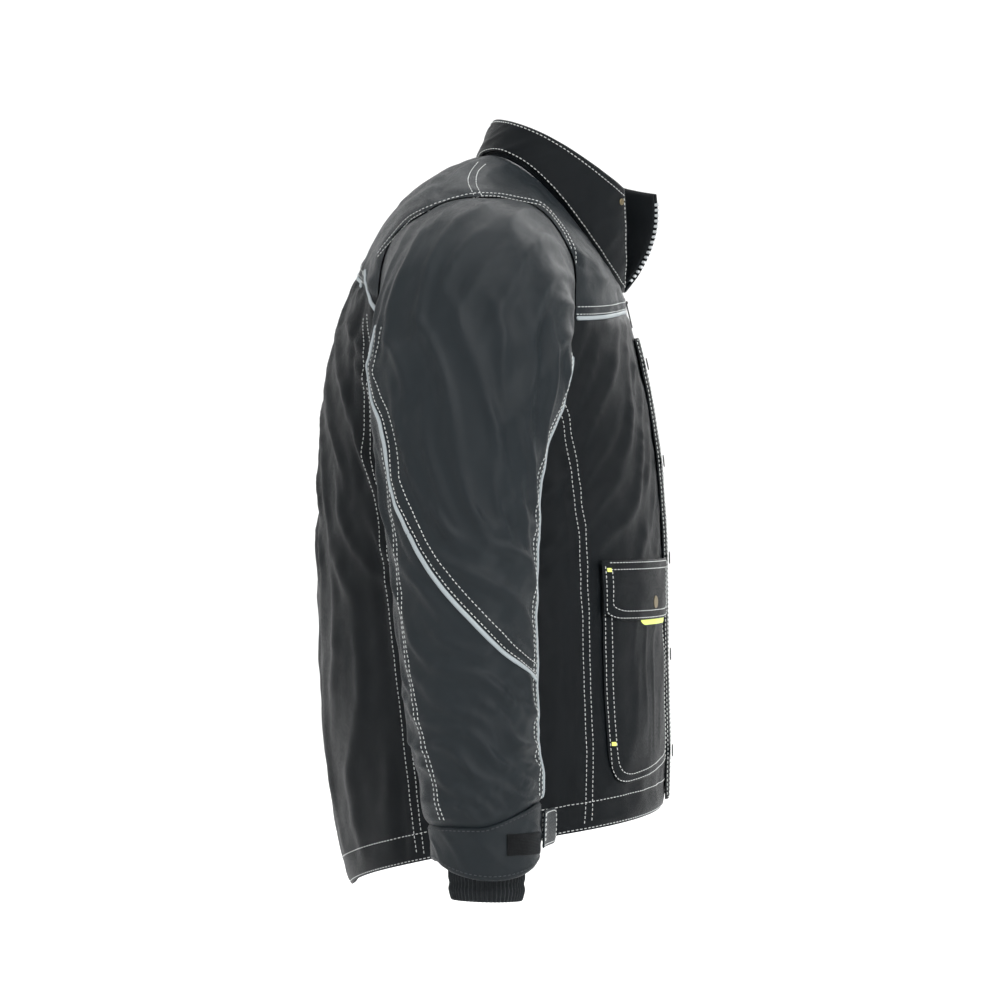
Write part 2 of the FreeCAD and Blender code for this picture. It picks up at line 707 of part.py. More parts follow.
def body_lining(layer, width, spans):
    """A layer under the shell: both fronts and the back, each in as many pieces as there are spans."""
    cutter = armhole_cutter()
    edges = {"back": (lambda ring: shoulder_angle(ring) + 0.7, lambda ring: 359.3 - shoulder_angle(ring), 33)}
    for name, side in SIDES:
        edges[f"front_{name}"] = (
            lambda ring, side=side: side * angle_at_width(width, ring),
            lambda ring, side=side: side * (shoulder_angle(ring) - 0.7),
            19
        )
    pieces = {}
    for name, (start, end, columns) in edges.items():
        parts = []
        for low, high, rows in spans:
            piece = body_panel(start, end, level(low), level(high), layer, columns, rows)
            piece = piece.cut(cutter)
            if name != "back":
                piece = piece.cut(pieces["back"])
            parts.append(max(piece.Solids, key=lambda s: s.Volume))
        pieces[name] = parts[0] if len(parts) == 1 else Part.Compound(parts)
    return pieces


def build():
    """Every node, by name."""
    nodes = dict(body_layer(SHELL))
    low, high = (0.12, YOKE_RING - 0.05, 12), (YOKE_RING + 0.05, NECK_RING - 0.3, 8)
    for name, piece in body_lining(WADDING, 17.0, (low,)).items():
        nodes[f"wadding_{name}"] = piece
    for name, piece in body_lining(LINING, 17.0, (low, high)).items():
        nodes[f"lining_{name}"] = piece
    nodes["collar"] = collar_plate(COLLAR_OUTER, 0.0)
    nodes["collar_lining"] = collar_plate(COLLAR_LINING, 0.3)
    for name, side in SIDES:
        nodes[f"zip_tape_{name}"] = front_strip(
            side * TAPE_EDGES[0], side * TAPE_EDGES[1], -134.0, -650.0, ZIP_TAPE, 3, 15)
        nodes[f"zip_teeth_{name}"] = zip_teeth(side)
        nodes.update(pocket_pieces(name, side))
        nodes.update(sleeve_pieces(name, side))
    nodes["zip_slider"] = zip_slider()
    nodes["zip_pull"] = zip_pull()
    nodes["zip_box"] = front_strip(-5.5, 5.5, -652.0, -656.5, (-6.4, -2.4), 3, 3)
    nodes["storm_band"] = front_strip(
        STORM_ROOT_X + 1.5, STORM_HINGE_X + 4.0, STORM_TOP, STORM_BOTTOM, STORM_BAND, 4, 13)
    nodes["storm_flap"] = front_strip(
        STORM_FREE_X, STORM_ROOT_X, STORM_TOP, STORM_BOTTOM, STORM_FLAP, 9, 13)
    caps = discs_down_front(STORM_STUD_X, (STORM_FLAP[1] + 1.0, STORM_FLAP[1] + CAP_THICK + 0.6), CAP_RADIUS)
    caps += discs_down_front(STORM_STUD_X, STORM_SOCKET, CAP_RADIUS - 1.0)
    nodes["storm_caps"] = Part.Compound(caps)
    nodes["front_studs"] = Part.Compound(discs_down_front(STORM_STUD_X, FRONT_STUD, STUD_RADIUS))
    middle = mix(*POCKET_ANGLES, 0.44)
    nodes["pocket_studs"] = Part.Compound([
        chest_disc(side * middle, FLAP_BOTTOM + 17.0, STUD_RADIUS, *POCKET_STUD) for _, side in SIDES
    ])
    nodes["hanger_loop"] = hanger_loop()
    front = angle_at_width(8.0, YOKE_RING)
    nodes["yoke_piping"] = Part.Compound(
        piping((front, 87.0)) + piping((-87.0, -front)) + piping((89.0, 271.0)))
    return nodes


def main():
    os.makedirs("parts", exist_ok=True)
    for name, shape in build().items():
        shape.exportStep(f"parts/{name}.step")


main()
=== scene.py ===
"""Insulated work coat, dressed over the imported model. Metres in the scene; the garment's surfaces are worked
out in millimetres, the same way as the model's, and scaled when a mesh is made."""
import bpy
import math
import numpy as np
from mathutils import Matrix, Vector
from mathutils.bvhtree import BVHTree
from mathutils.kdtree import KDTree


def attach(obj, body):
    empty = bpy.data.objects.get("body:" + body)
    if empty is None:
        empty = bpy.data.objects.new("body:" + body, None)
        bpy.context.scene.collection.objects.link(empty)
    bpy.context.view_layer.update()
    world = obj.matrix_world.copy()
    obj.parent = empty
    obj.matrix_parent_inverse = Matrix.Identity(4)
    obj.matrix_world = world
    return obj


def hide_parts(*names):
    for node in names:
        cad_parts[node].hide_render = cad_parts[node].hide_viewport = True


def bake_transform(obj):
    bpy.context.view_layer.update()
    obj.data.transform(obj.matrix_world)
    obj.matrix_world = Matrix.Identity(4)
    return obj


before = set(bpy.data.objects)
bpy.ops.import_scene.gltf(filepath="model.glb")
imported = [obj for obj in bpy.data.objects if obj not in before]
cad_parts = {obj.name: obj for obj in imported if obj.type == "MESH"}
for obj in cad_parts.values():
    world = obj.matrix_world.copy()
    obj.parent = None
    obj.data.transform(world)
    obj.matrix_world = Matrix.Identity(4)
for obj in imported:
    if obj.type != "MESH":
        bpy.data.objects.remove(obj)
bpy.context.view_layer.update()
SIDES = (("left", 1), ("right", -1))

# ---------------------------------------------------------------- surfaces, in millimetres
RINGS = np.array((
    (-657.0, -680.0, -743.0, 222.0, -184.0, 142.0, -18.0, 2.5),
    (-600.0, -616.0, -662.0, 222.0, -185.0, 161.0, -12.0, 2.5),
    (-500.0, -506.0, -522.0, 222.0, -183.0, 173.0, -5.0, 2.5),
    (-400.0, -400.0, -402.0, 220.0, -182.0, 176.0, -3.0, 2.5),
    (-310.0, -320.0, -310.0, 219.0, -177.0, 175.0, -1.0, 2.45),
    (-250.0, -262.0, -240.0, 221.0, -169.0, 171.0, 0.0, 2.4),
    (-194.0, -208.0, -170.0, 224.0, -158.0, 160.0, 0.0, 2.35),
    (-144.0, -158.0, -101.0, 230.0, -145.0, 134.0, 0.0, 2.3),
    (-140.5, -108.0, -78.0, 236.0, -144.4, 121.0, 2.0, 2.25),
    (-137.5, -68.0, -56.0, 231.0, -143.8, 104.0, 2.0, 2.2),
    (-134.5, -42.0, -34.0, 202.0, -143.2, 83.0, -4.0, 2.15),
    (-131.5, -20.0, -13.0, 147.0, -142.6, 54.0, -22.0, 2.1),
    (-128.5, -2.0, 4.0, 88.0, -142.0, 15.0, -45.0, 2.0),
))
COLLAR_RINGS = np.array((
    (-124.0, 2.0, 8.0, 88.0, -143.0, 15.0, -45.0, 2.0),
    (-90.0, 13.0, 23.0, 86.0, -147.0, 10.0, -50.0, 2.0),
    (-56.0, 25.0, 40.0, 84.0, -150.0, 3.0, -55.0, 2.05),
    (-22.0, 36.0, 57.0, 82.0, -151.0, -5.0, -60.0, 2.1),
))
FRONT_SEAM = np.array((70.0, 69.0, 66.5, 65.6, 67.0, 71.0, 71.0, 68.0))[:, None]
BACK_SEAM = np.array((113.5, 113.0, 113.5, 117.5, 123.0, 127.5, 129.0, 131.0))[:, None]
SLEEVE_RINGS = np.array((
    (217.0, -47.0, 226.0, -245.0, 91.0, -6.0),
    (262.0, -57.0, 231.0, -254.0, 94.0, -5.0),
    (300.0, -88.0, 234.5, -262.0, 97.0, -3.0),
    (328.0, -138.0, 237.0, -270.0, 98.5, -1.0),
    (346.0, -200.0, 239.0, -281.0, 94.5, 2.0),
    (358.0, -262.0, 241.0, -298.0, 86.0, 7.0),
    (366.0, -333.0, 246.0, -338.0, 76.5, 7.5),
    (372.0, -405.0, 253.0, -405.0, 71.0, 3.0),
    (377.0, -478.0, 262.0, -478.0, 66.5, 0.0),
    (381.0, -545.0, 272.0, -545.0, 63.5, -5.0),
    (383.0, -605.0, 281.0, -605.0, 58.0, -12.0),
    (383.0, -648.0, 286.0, -652.0, 53.0, -18.0),
    (381.0, -700.0, 288.0, -704.0, 49.5, -20.0),
))
YOKE_RING, NECK_RING = 7, 12
ARMHOLE = (-6.0, -146.0, 95.0, 104.0)  # middle y, middle z, half y, half z
# how far the armhole's edge reaches past that ellipse, every 30 degrees from the front over the shoulder
ARMHOLE_REACH = np.array((0.99, 1.07, 1.12, 1.03, 1.05, 1.19, 1.14, 1.0, 1.0, 1.0, 1.0, 1.0))
SLEEVE_SPLIT = 6.55  # the ring of the seam between the upper and lower sleeve
TORSO_BEYOND = 125.0  # the armhole cuts only what is farther than this from the middle
FRONT_GAP = 7.0
COLLAR_OPEN = (2.0, 22.0)
COLLAR_FLARE, COLLAR_FLARE_ANGLE = 90.0, 55.0


def slope(before, after):
    """The slope of a curve through a point, from the steps before and after it, that never overshoots."""
    mean = 2 * before * after / (np.abs(before + after) + 1e-12) * np.sign(before)
    return np.where(before * after > 0, mean, 0)


def spline(rows, at):
    """Rows' columns at ring numbers with fractions, by a curve that does not overshoot."""
    last = len(rows) - 1
    at = np.clip(np.asarray(at, float), 0, last)
    i = np.minimum(at.astype(int), last - 1)
    f = (at - i)[..., None]
    ends = np.concatenate([2 * rows[:1] - rows[1:2], rows, 2 * rows[-1:] - rows[-2:-1]])
    a, b, c, d = (ends[i + k] for k in range(4))
    m, n, step = slope(b - a, c - b), slope(c - b, d - c), c - b
    return b + f * (m + f * (3 * step - 2 * m - n + f * (m + n - 2 * step)))


def on_ring(rows, angle, ring):
    """A point of the rings' surface, where each ring is a squared oval whose height follows its angle."""
    fz, sz, bz, half, fy, by, my, sq = np.moveaxis(spline(rows, ring), -1, 0)
    t = np.radians(angle)
    across, ahead = np.sin(t), np.cos(t)
    depth = np.where(ahead > 0, my - fy, by - my)
    reach = (np.abs(across / half) ** sq + np.abs(ahead / depth) ** sq) ** (-1.0 / sq)
    z = sz + (fz - bz) / 2 * ahead + ((fz + bz) / 2 - sz) * ahead ** 2
    return np.stack([reach * across, my - reach * ahead, z + 0 * reach], -1)


def lift(fn, u, v, depth, du, dv, outward=1.0):
    """A point that stands out from a surface by depth, along its outward direction."""
    u, v = np.broadcast_arrays(np.asarray(u, float), np.asarray(v, float))
    p = fn(u, v)
    n = np.cross(fn(u + du, v) - fn(u - du, v), fn(u, v + dv) - fn(u, v - dv))
    n /= np.linalg.norm(n, axis=-1, keepdims=True) + 1e-12
    return p + n * (np.asarray(depth, float)[..., None] * outward)


def body(angle, ring, depth=0.0):
    ring = np.clip(ring, 0.01, NECK_RING - 0.01)
    return lift(lambda u, v: on_ring(RINGS, u, v), angle, ring, depth, 0.05, 0.01)


def collar(angle, ring, depth=0.0):
    def plain(u, v):
        p = on_ring(COLLAR_RINGS, u, v)
        lean = np.where(u > 0, np.maximum(0, 1 - np.abs(u) / COLLAR_FLARE_ANGLE), 0)
        p[..., 1] -= COLLAR_FLARE * lean ** 2 * v / 3
        return p
    return lift(plain, angle, np.clip(ring, 0.01, 2.99), depth, 0.05, 0.01)


def halved(shape, top, steps, less):
    """Where less stops being true between 0 and top, by halving."""
    low, high = np.zeros(shape), np.full(shape, float(top))
    for _ in range(steps):
        mid = (low + high) / 2
        below = less(mid)
        low, high = np.where(below, mid, low), np.where(below, high, mid)
    return (low + high) / 2


def width_angle(x, ring):
    """The angle near the front middle whose point is x from the middle."""
    ring = np.asarray(ring, float)
    return halved(ring.shape, 60.0, 26, lambda mid: on_ring(RINGS, mid, ring)[..., 0] < x)


def height_ring(angle, z):
    """The body ring at an angle whose height is z, below the yoke."""
    angle, z = np.broadcast_arrays(np.asarray(angle, float), np.asarray(z, float))
    return halved(z.shape, YOKE_RING, 26, lambda mid: on_ring(RINGS, angle, mid)[..., 2] < z)


def armhole_reach(angle):
    """How far the armhole's edge reaches at an angle, as a share of its ellipse."""
    at = np.asarray(angle, float) / 30.0
    i = np.floor(at).astype(int)
    f = (1 - np.cos(np.pi * (at - i))) / 2
    return ARMHOLE_REACH[i % 12] * (1 - f) + ARMHOLE_REACH[(i + 1) % 12] * f


def armhole_widths():
    """The width of the body at the armhole's edge, every 5 degrees round it."""
    cy, cz, hy, hz = ARMHOLE
    around = 5.0 * np.arange(72)
    t, reach = np.radians(around), armhole_reach(around)
    y, z = cy - (hy - 1) * reach * np.cos(t), cz + (hz - 1) * reach * np.sin(t)
    angle, ring = np.full(72, 90.0), np.full(72, 6.0)
    for _ in range(10):
        low, high = np.full(72, 35.0), np.full(72, 150.0)
        for _ in range(22):
            angle = (low + high) / 2
            less = on_ring(RINGS, angle, ring)[:, 1] < y
            low, high = np.where(less, angle, low), np.where(less, high, angle)
        low, high = np.full(72, 3.0), np.full(72, 11.0)
        for _ in range(22):
            ring = (low + high) / 2
            less = on_ring(RINGS, angle, ring)[:, 2] < z
            low, high = np.where(less, ring, low), np.where(less, high, ring)
    return on_ring(RINGS, angle, ring)[:, 0]


WIDTHS = armhole_widths()


def sleeve_plain(angle, ring):
    """The right or left sleeve with x as its distance from the coat's middle."""
    ow, oz, iw, iz, half, mid = np.moveaxis(spline(SLEEVE_RINGS, ring), -1, 0)
    t = np.radians(angle)
    s, c = np.sin(t), np.cos(t)
    w = (ow + iw) / 2 + s * (ow - iw) / 2
    z = (oz + iz) / 2 + s * (oz - iz) / 2
    y = mid - half * c
    at = np.asarray(angle, float) / 5.0
    i = np.floor(at).astype(int)
    edge = WIDTHS[i % 72] * (1 - (at - i)) + WIDTHS[(i + 1) % 72] * (at - i)
    share = np.where(ring < 2, (1 - np.minimum(ring, 2) / 2.0) ** 2, 0)
    cy, cz, hy, hz = ARMHOLE
    reach = armhole_reach(angle)
    w = w + (edge + 1 - w) * share
    z = z + (cz + (hz - 2) * reach * s - z) * share
    y = y + (cy - (hy - 2) * reach * c - y) * share
    return np.stack([w + 0 * s, y + 0 * s, z], -1)


def sleeve(side, angle, ring, depth=0.0):
    p = lift(sleeve_plain, angle, np.clip(ring, 0.01, 11.99), depth, 0.5, 0.01, -1.0)
    return p * np.array((side, 1.0, 1.0))


def mix(a, b, t):
    return a + (b - a) * t


def smooth(a, b, x):
    t = np.clip((x - a) / (b - a), 0, 1)
    return t * t * (3 - 2 * t)


# ---------------------------------------------------------------- meshes
def make_mesh(name, verts, faces, uv=None, wrap=0.0):
    """A mesh object from millimetres. uv gives each vertex its place on the cloth, in metres, and wrap is the
    length round a closed tube."""
    me = bpy.data.meshes.new(name)
    points = [tuple(v) for v in np.asarray(verts, float) * 0.001]
    me.from_pydata(points, [], [tuple(map(int, f)) for f in faces])
    if uv is not None:
        layer = me.uv_layers.new(name="cloth")
        loops = np.zeros(len(me.loops), int)
        me.loops.foreach_get("vertex_index", loops)
        at = np.asarray(uv, float)[loops]
        if wrap:
            quad = at.reshape(-1, 4, 2)
            low = quad[..., 0].min(1, keepdims=True)
            high = quad[..., 0].max(1, keepdims=True)
            quad[..., 0] += wrap * ((high - low > wrap / 2) & (quad[..., 0] < low + wrap / 2))
        layer.data.foreach_set("uv", at.ravel())
    me.polygons.foreach_set("use_smooth", [True] * len(me.polygons))
    me.update()
    obj = bpy.data.objects.new(name, me)
    bpy.context.collection.objects.link(obj)
    return obj


def grid_faces(nu, nv, closed=False, flip=False):
    """The quads of a grid of nu by nv points, whose last row meets its first when it is closed."""
    i, j = np.meshgrid(np.arange(nu if closed else nu - 1), np.arange(nv - 1), indexing="ij")
    a = (i * nv + j).ravel()
    b = (((i + 1) % nu) * nv + j).ravel()
    quads = np.stack([a, b, b + 1, a + 1], -1)
    return quads[:, ::-1] if flip else quads


def grid_lengths(p):
    """How far each point of a grid is along its row and along its column."""
    du = np.linalg.norm(np.diff(p, axis=0), axis=-1)
    dv = np.linalg.norm(np.diff(p, axis=1), axis=-1)
    u = np.concatenate([np.zeros((1, p.shape[1])), np.cumsum(du, 0)])
    v = np.concatenate([np.zeros((p.shape[0], 1)), np.cumsum(dv, 1)], 1)
    return u, v


def grid_uv(p):
    """Cloth coordinates of a grid of points in metres, from the lengths along its rows and columns."""
    u, v = grid_lengths(p)
    return np.stack([u - u[p.shape[0] // 2], v], -1).reshape(-1, 2) * 0.001


def coords(obj):
    co = np.zeros(len(obj.data.vertices) * 3)
    obj.data.vertices.foreach_get("co", co)
    return co.reshape(-1, 3)


def apply_modifiers(obj):
    dg = bpy.context.evaluated_depsgraph_get()
    me = bpy.data.meshes.new_from_object(obj.evaluated_get(dg), preserve_all_data_layers=True, depsgraph=dg)
    old = obj.data
    obj.modifiers.clear()
    obj.data = me
    bpy.data.meshes.remove(old)
    return obj


DRAPE_FRAMES = 20


def drape(obj, pins, rest):
    """Lets a mesh settle as cloth that was cut to the rest shape, held by soft or hard pins."""
    scene = bpy.context.scene
    obj.shape_key_add(name="Basis")
    key = obj.shape_key_add(name="cut")
    key.data.foreach_set("co", rest.ravel())
    group = obj.vertex_groups.new(name="pins")
    for level in np.unique(np.round(pins, 3)):
        group.add([int(i) for i in np.nonzero(np.round(pins, 3) == level)[0]], float(level), "REPLACE")
    mod = obj.modifiers.new("Cloth", "CLOTH")
    s = mod.settings
    s.quality = 5
    s.mass = 0.25
    s.tension_stiffness = s.compression_stiffness = 18.0
    s.shear_stiffness = 6.0
    s.bending_model = "ANGULAR"
    s.bending_stiffness = 0.35
    s.tension_damping = s.compression_damping = s.shear_damping = 6.0
    s.bending_damping = 1.0
    s.air_damping = 2.0
    s.vertex_group_mass = "pins"
    s.pin_stiffness = 1.0
    s.rest_shape_key = key
    s.effector_weights.gravity = 0.0
    mod.point_cache.frame_start, mod.point_cache.frame_end = 1, DRAPE_FRAMES
    for f in range(1, DRAPE_FRAMES + 1):
        scene.frame_set(f)
    dg = bpy.context.evaluated_depsgraph_get()
    out = obj.evaluated_get(dg)
    co = np.zeros(len(out.data.vertices) * 3)
    out.data.vertices.foreach_get("co", co)
    obj.modifiers.remove(mod)
    obj.shape_key_clear()
    obj.data.vertices.foreach_set("co", co)
    obj.data.update()
    scene.frame_set(1)


def noise(p, scale, seed=0.0):
    """A smooth repeatable waviness of points, from -1 to 1."""
    q = p / scale
    x, y, z = q[..., 0] + seed, q[..., 1] + 1.7 * seed, q[..., 2] - 0.6 * seed
    a = np.sin(1.1 * x + 2.3 * np.sin(0.7 * y + 0.4 * z)) * np.cos(0.9 * z + 1.3 * np.sin(0.8 * x - 0.5 * y))
    b = np.sin(1.9 * y + 1.7 * z + 1.1 * np.sin(1.3 * x)) * np.cos(1.6 * x - 0.7 * z)
    return 0.6 * a + 0.4 * b


# ---------------------------------------------------------------- the body's shell
def ring_rows(lengths, start, step=6.0):
    rows = [float(start)]
    for k, length in enumerate(lengths):
        n = max(2, int(round(length / step)))
        rows += [start + k + (i + 1) / n for i in range(n)]
    return np.array(rows)


ROWS = np.concatenate([ring_rows((64, 110, 106, 80, 58, 54, 50), 0), ring_rows((50, 40, 42, 60, 60), 7)[1:]])
BLOCKS = (30, 12, 22, 30)


def body_angles():
    """Angles of the shell's grid, columns by rows, from the front edge round the left to the back middle."""
    low = np.minimum(ROWS, YOKE_RING)
    front, back = spline(FRONT_SEAM, low)[:, 0], spline(BACK_SEAM, low)[:, 0]
    up = np.clip((ROWS - 8.5) / 3.5, 0, 1)
    edges = (width_angle(FRONT_GAP, ROWS), front + 14 * up, front + (back - front) * 20.0 / 63.0 + 36 * up,
             back + 16 * up, 180.0 + 0 * ROWS)
    cols = [edges[0]]
    for a, b, n in zip(edges, edges[1:], BLOCKS):
        cols += [a + (b - a) * (i + 1) / n for i in range(n)]
    return np.array(cols)


def make_shell():
    """The whole shell as one open mesh, with its panel numbers and the seam and edge marks that its pins are
    set from.
    """
    left = body_angles()
    angle = np.concatenate([left, 360.0 - left[-2::-1]])
    ring = np.broadcast_to(ROWS, angle.shape)
    cols, rows = angle.shape
    p = body(angle, ring)
    cy, cz, hy, hz = ARMHOLE
    ahead, up = (cy - p[..., 1]) / hy, (p[..., 2] - cz) / hz
    g = np.hypot(ahead, up) / armhole_reach(np.degrees(np.arctan2(up, ahead)))
    g = np.where(np.abs(p[..., 0]) > TORSO_BEYOND, g, 9.0).ravel()
    quads = grid_faces(cols, rows)
    keep = g[quads].mean(1) > 1.0
    gone = set(quads[~keep].ravel())
    used = set(quads[keep].ravel())
    rim = np.array(sorted(gone & used))
    a, r = angle.ravel().copy(), ring.ravel().copy()
    flat = p.reshape(-1, 3)
    ty = cy + (flat[rim, 1] - cy) / g[rim]
    tz = cz + (flat[rim, 2] - cz) / g[rim]
    for _ in range(6):
        q = on_ring(RINGS, a[rim], r[rim])
        ja = (on_ring(RINGS, a[rim] + 0.1, r[rim]) - q) / 0.1
        jr = (on_ring(RINGS, a[rim], r[rim] + 0.01) - q) / 0.01
        ey, ez = ty - q[:, 1], tz - q[:, 2]
        det = ja[:, 1] * jr[:, 2] - ja[:, 2] * jr[:, 1]
        det = np.where(np.abs(det) < 1e-3, 1e-3, det)
        a[rim] += np.clip((ey * jr[:, 2] - ez * jr[:, 1]) / det, -2, 2)
        r[rim] += np.clip((ez * ja[:, 1] - ey * ja[:, 2]) / det, -0.3, 0.3)
    p = body(a, r).reshape(-1, 3)
    column = np.repeat(np.arange(cols), rows)
    row = np.tile(np.arange(rows), cols)
    yoke = int(np.argmin(np.abs(ROWS - YOKE_RING)))
    marks = np.cumsum((0,) + BLOCKS)
    last = cols - 1
    seam_cols = [marks[1], marks[3], last - marks[3], last - marks[1]]
    on_side = np.isin(column, seam_cols) & (row <= yoke)
    shoulder = np.isin(column, [marks[2], last - marks[2]]) & (row >= yoke)
    seam = on_side | shoulder | (row == yoke)
    edge = (row == 0) | (row == rows - 1) | (column == 0) | (column == last)
    edge[rim] = True
    panel_col = np.digitize(column[quads[:, 0]], seam_cols)
    yoke_col = np.digitize(column[quads[:, 0]], [marks[2], last - marks[2]])
    panel = np.where(row[quads[:, 0]] < yoke, panel_col, 5 + yoke_col)
    index = np.full(cols * rows, -1)
    order = np.array(sorted(used))
    index[order] = np.arange(len(order))
    uv = grid_uv(body(angle, ring))
    return {
        "p": p[order], "faces": index[quads[keep]], "panel": panel[keep], "angle": a[order], "ring": r[order],
        "seam": seam[order], "edge": edge[order], "uv": uv[order],
    }


PANEL_NAMES = (
    "front_panel_left", "side_panel_left", "back_panel", "side_panel_right", "front_panel_right",
    "front_yoke_left", "back_yoke", "front_yoke_right",
)


def spread(mask, p, reach):
    """Distance from each point to the nearest marked one, in millimetres, no more than reach."""
    tree = KDTree(int(mask.sum()))
    for i, q in enumerate(p[mask]):
        tree.insert(q, i)
    tree.balance()
    return np.array([min(reach, tree.find(q)[2]) for q in p])


def settle(name, p, faces, pins, rest_scale, start):
    """Where a mesh comes to rest, in millimetres, when it is draped from start and cut larger than p."""
    centre = p.mean(0)
    obj = make_mesh(name, start, faces)
    rest = (centre + (p - centre) * np.array(rest_scale)) * 0.001
    drape(obj, pins, rest)
    out = coords(obj) * 1000
    me = obj.data
    bpy.data.objects.remove(obj)
    bpy.data.meshes.remove(me)
    return out


def capped(p, q, normals, inward, outward):
    """q, but no farther from p than inward or outward along the normals, and the same sideways."""
    d = q - p
    along = (d * normals).sum(-1, keepdims=True)
    side = d - along * normals
    side_len = np.linalg.norm(side, axis=-1, keepdims=True)
    limit = np.maximum(inward, outward)
    side *= np.minimum(1, limit / (side_len + 1e-9))
    room = np.where(along < 0, inward, outward)
    along = np.sign(along) * room * np.tanh(np.abs(along) / (room + 1e-9))
    return p + side + along * normals


# ---------------------------------------------------------------- materials
def new_material(name):
    m = bpy.data.materials.new(name)
    m.use_nodes = True
    t = m.node_tree
    t.nodes.clear()
    out = t.nodes.new("ShaderNodeOutputMaterial")
    bsdf = t.nodes.new("ShaderNodeBsdfPrincipled")
    t.links.new(bsdf.outputs[0], out.inputs[0])
    return m, t, bsdf


def node(t, kind, inputs=(), **props):
    n = t.nodes.new(kind)
    for k, v in props.items():
        setattr(n, k, v)
    for k, v in dict(inputs).items():
        if isinstance(v, bpy.types.NodeSocket):
            t.links.new(v, n.inputs[k])
        else:
            n.inputs[k].default_value = v
    return n


def ramp(t, fac, stops):
    n = t.nodes.new("ShaderNodeValToRGB")
    t.links.new(fac, n.inputs[0])
    e = n.color_ramp.elements
    while len(e) < len(stops):
        e.new(0.5)
    for el, (pos, col) in zip(e, stops):
        el.position = pos
        el.color = (*col, 1) if len(col) == 3 else col
    return n


def shade(c, k):
    return tuple(x * k for x in c)


CLOTH_VARY = 0.18  # how far a cloth's colour strays from its mean


def cloth_material(name, colour, rough=0.62, sheen=0.25, weave=1500.0, bump=0.25, specular=0.45):
    """Woven cloth: crossed threads along the cloth's own coordinates, slow colour changes and slight fuzz."""
    m, t, b = new_material(name)
    uv = node(t, "ShaderNodeUVMap", uv_map="cloth")
    obj = node(t, "ShaderNodeTexCoord")
    waves = []
    for axis in ("X", "Y"):
        scale = node(t, "ShaderNodeMapping", {"Vector": uv.outputs[0], "Scale": (weave, weave, weave)})
        wave = {"Vector": scale.outputs[0], "Scale": 0.32, "Distortion": 1.2, "Detail": 1.0}
        waves.append(node(t, "ShaderNodeTexWave", wave, wave_type="BANDS", bands_direction=axis))
    threads = node(t, "ShaderNodeMath", {0: waves[0].outputs["Fac"], 1: waves[1].outputs["Fac"]},
                   operation="MULTIPLY")
    slow = node(t, "ShaderNodeTexNoise", {"Vector": obj.outputs["Object"], "Scale": 9.0, "Detail": 4.0,
                                          "Roughness": 0.6})
    fine = node(t, "ShaderNodeTexNoise", {"Vector": obj.outputs["Object"], "Scale": 420.0, "Detail": 2.0})
    tone = node(t, "ShaderNodeMath", {0: slow.outputs["Fac"], 1: 0.6, 2: 0.0}, operation="MULTIPLY_ADD")
    grain = node(t, "ShaderNodeMath", {0: threads.outputs[0], 1: 0.4, 2: tone.outputs[0]},
                 operation="MULTIPLY_ADD")
    tones = ((0.15, shade(colour, 1 - CLOTH_VARY)), (0.75, shade(colour, 1 + CLOTH_VARY)))
    t.links.new(ramp(t, grain.outputs[0], tones).outputs[0], b.inputs["Base Color"])
    r = ramp(t, fine.outputs["Fac"], ((0.3, (rough - 0.06,) * 3), (0.7, (rough + 0.06,) * 3)))
    t.links.new(r.outputs[0], b.inputs["Roughness"])
    h = node(t, "ShaderNodeMath", {0: fine.outputs["Fac"], 1: 0.35, 2: threads.outputs[0]},
             operation="MULTIPLY_ADD")
    crumple = node(t, "ShaderNodeTexNoise", {"Vector": obj.outputs["Object"], "Scale": 38.0, "Detail": 5.0,
                                             "Roughness": 0.55})
    big = node(t, "ShaderNodeBump", {"Height": crumple.outputs["Fac"], "Strength": 0.12, "Distance": 0.004})
    small = node(t, "ShaderNodeBump", {"Height": h.outputs[0], "Strength": bump, "Distance": 0.0004,
                                       "Normal": big.outputs[0]})
    t.links.new(small.outputs[0], b.inputs["Normal"])
    b.inputs["Sheen Weight"].default_value = sheen
    b.inputs["Sheen Roughness"].default_value = 0.45
    b.inputs["Sheen Tint"].default_value = (0.85, 0.93, 1.0, 1)
    b.inputs["Specular IOR Level"].default_value = specular
    return m


def solid_material(name, colour, rough=0.5, metallic=0.0, scale=300.0, bump=0.1, vary=0.15, specular=0.5):
    """Moulded, metal or thread surfaces, with a fine uneven grain and a lighter colour on their sharp edges.
    """
    m, t, b = new_material(name)
    at = node(t, "ShaderNodeTexCoord").outputs["Object"]
    n1 = node(t, "ShaderNodeTexNoise", {"Vector": at, "Scale": scale, "Detail": 4.0})
    n2 = node(t, "ShaderNodeTexNoise", {"Vector": at, "Scale": scale * 0.12, "Detail": 3.0})
    geo = node(t, "ShaderNodeNewGeometry")
    sharp_edges = ramp(t, geo.outputs["Pointiness"], ((0.5, (0, 0, 0)), (0.62, (1, 1, 1))))
    f = node(t, "ShaderNodeMath", {0: n1.outputs["Fac"], 1: 0.4}, operation="MULTIPLY")
    g = node(t, "ShaderNodeMath", {0: n2.outputs["Fac"], 1: 0.5, 2: f.outputs[0]}, operation="MULTIPLY_ADD")
    w = node(t, "ShaderNodeMath", {0: sharp_edges.outputs[0], 1: 0.25, 2: g.outputs[0]}, operation="MULTIPLY_ADD")
    col = ramp(t, w.outputs[0], ((0.25, shade(colour, 1 - vary)), (0.8, shade(colour, 1 + 2 * vary))))
    t.links.new(col.outputs[0], b.inputs["Base Color"])
    r = ramp(t, n2.outputs["Fac"], ((0.3, (max(0.05, rough - 0.08),) * 3), (0.7, (rough + 0.08,) * 3)))
    t.links.new(r.outputs[0], b.inputs["Roughness"])
    bm = node(t, "ShaderNodeBump", {"Height": n1.outputs["Fac"], "Strength": bump, "Distance": 0.0005})
    t.links.new(bm.outputs[0], b.inputs["Normal"])
    b.inputs["Metallic"].default_value = metallic
    b.inputs["Specular IOR Level"].default_value = specular
    return m


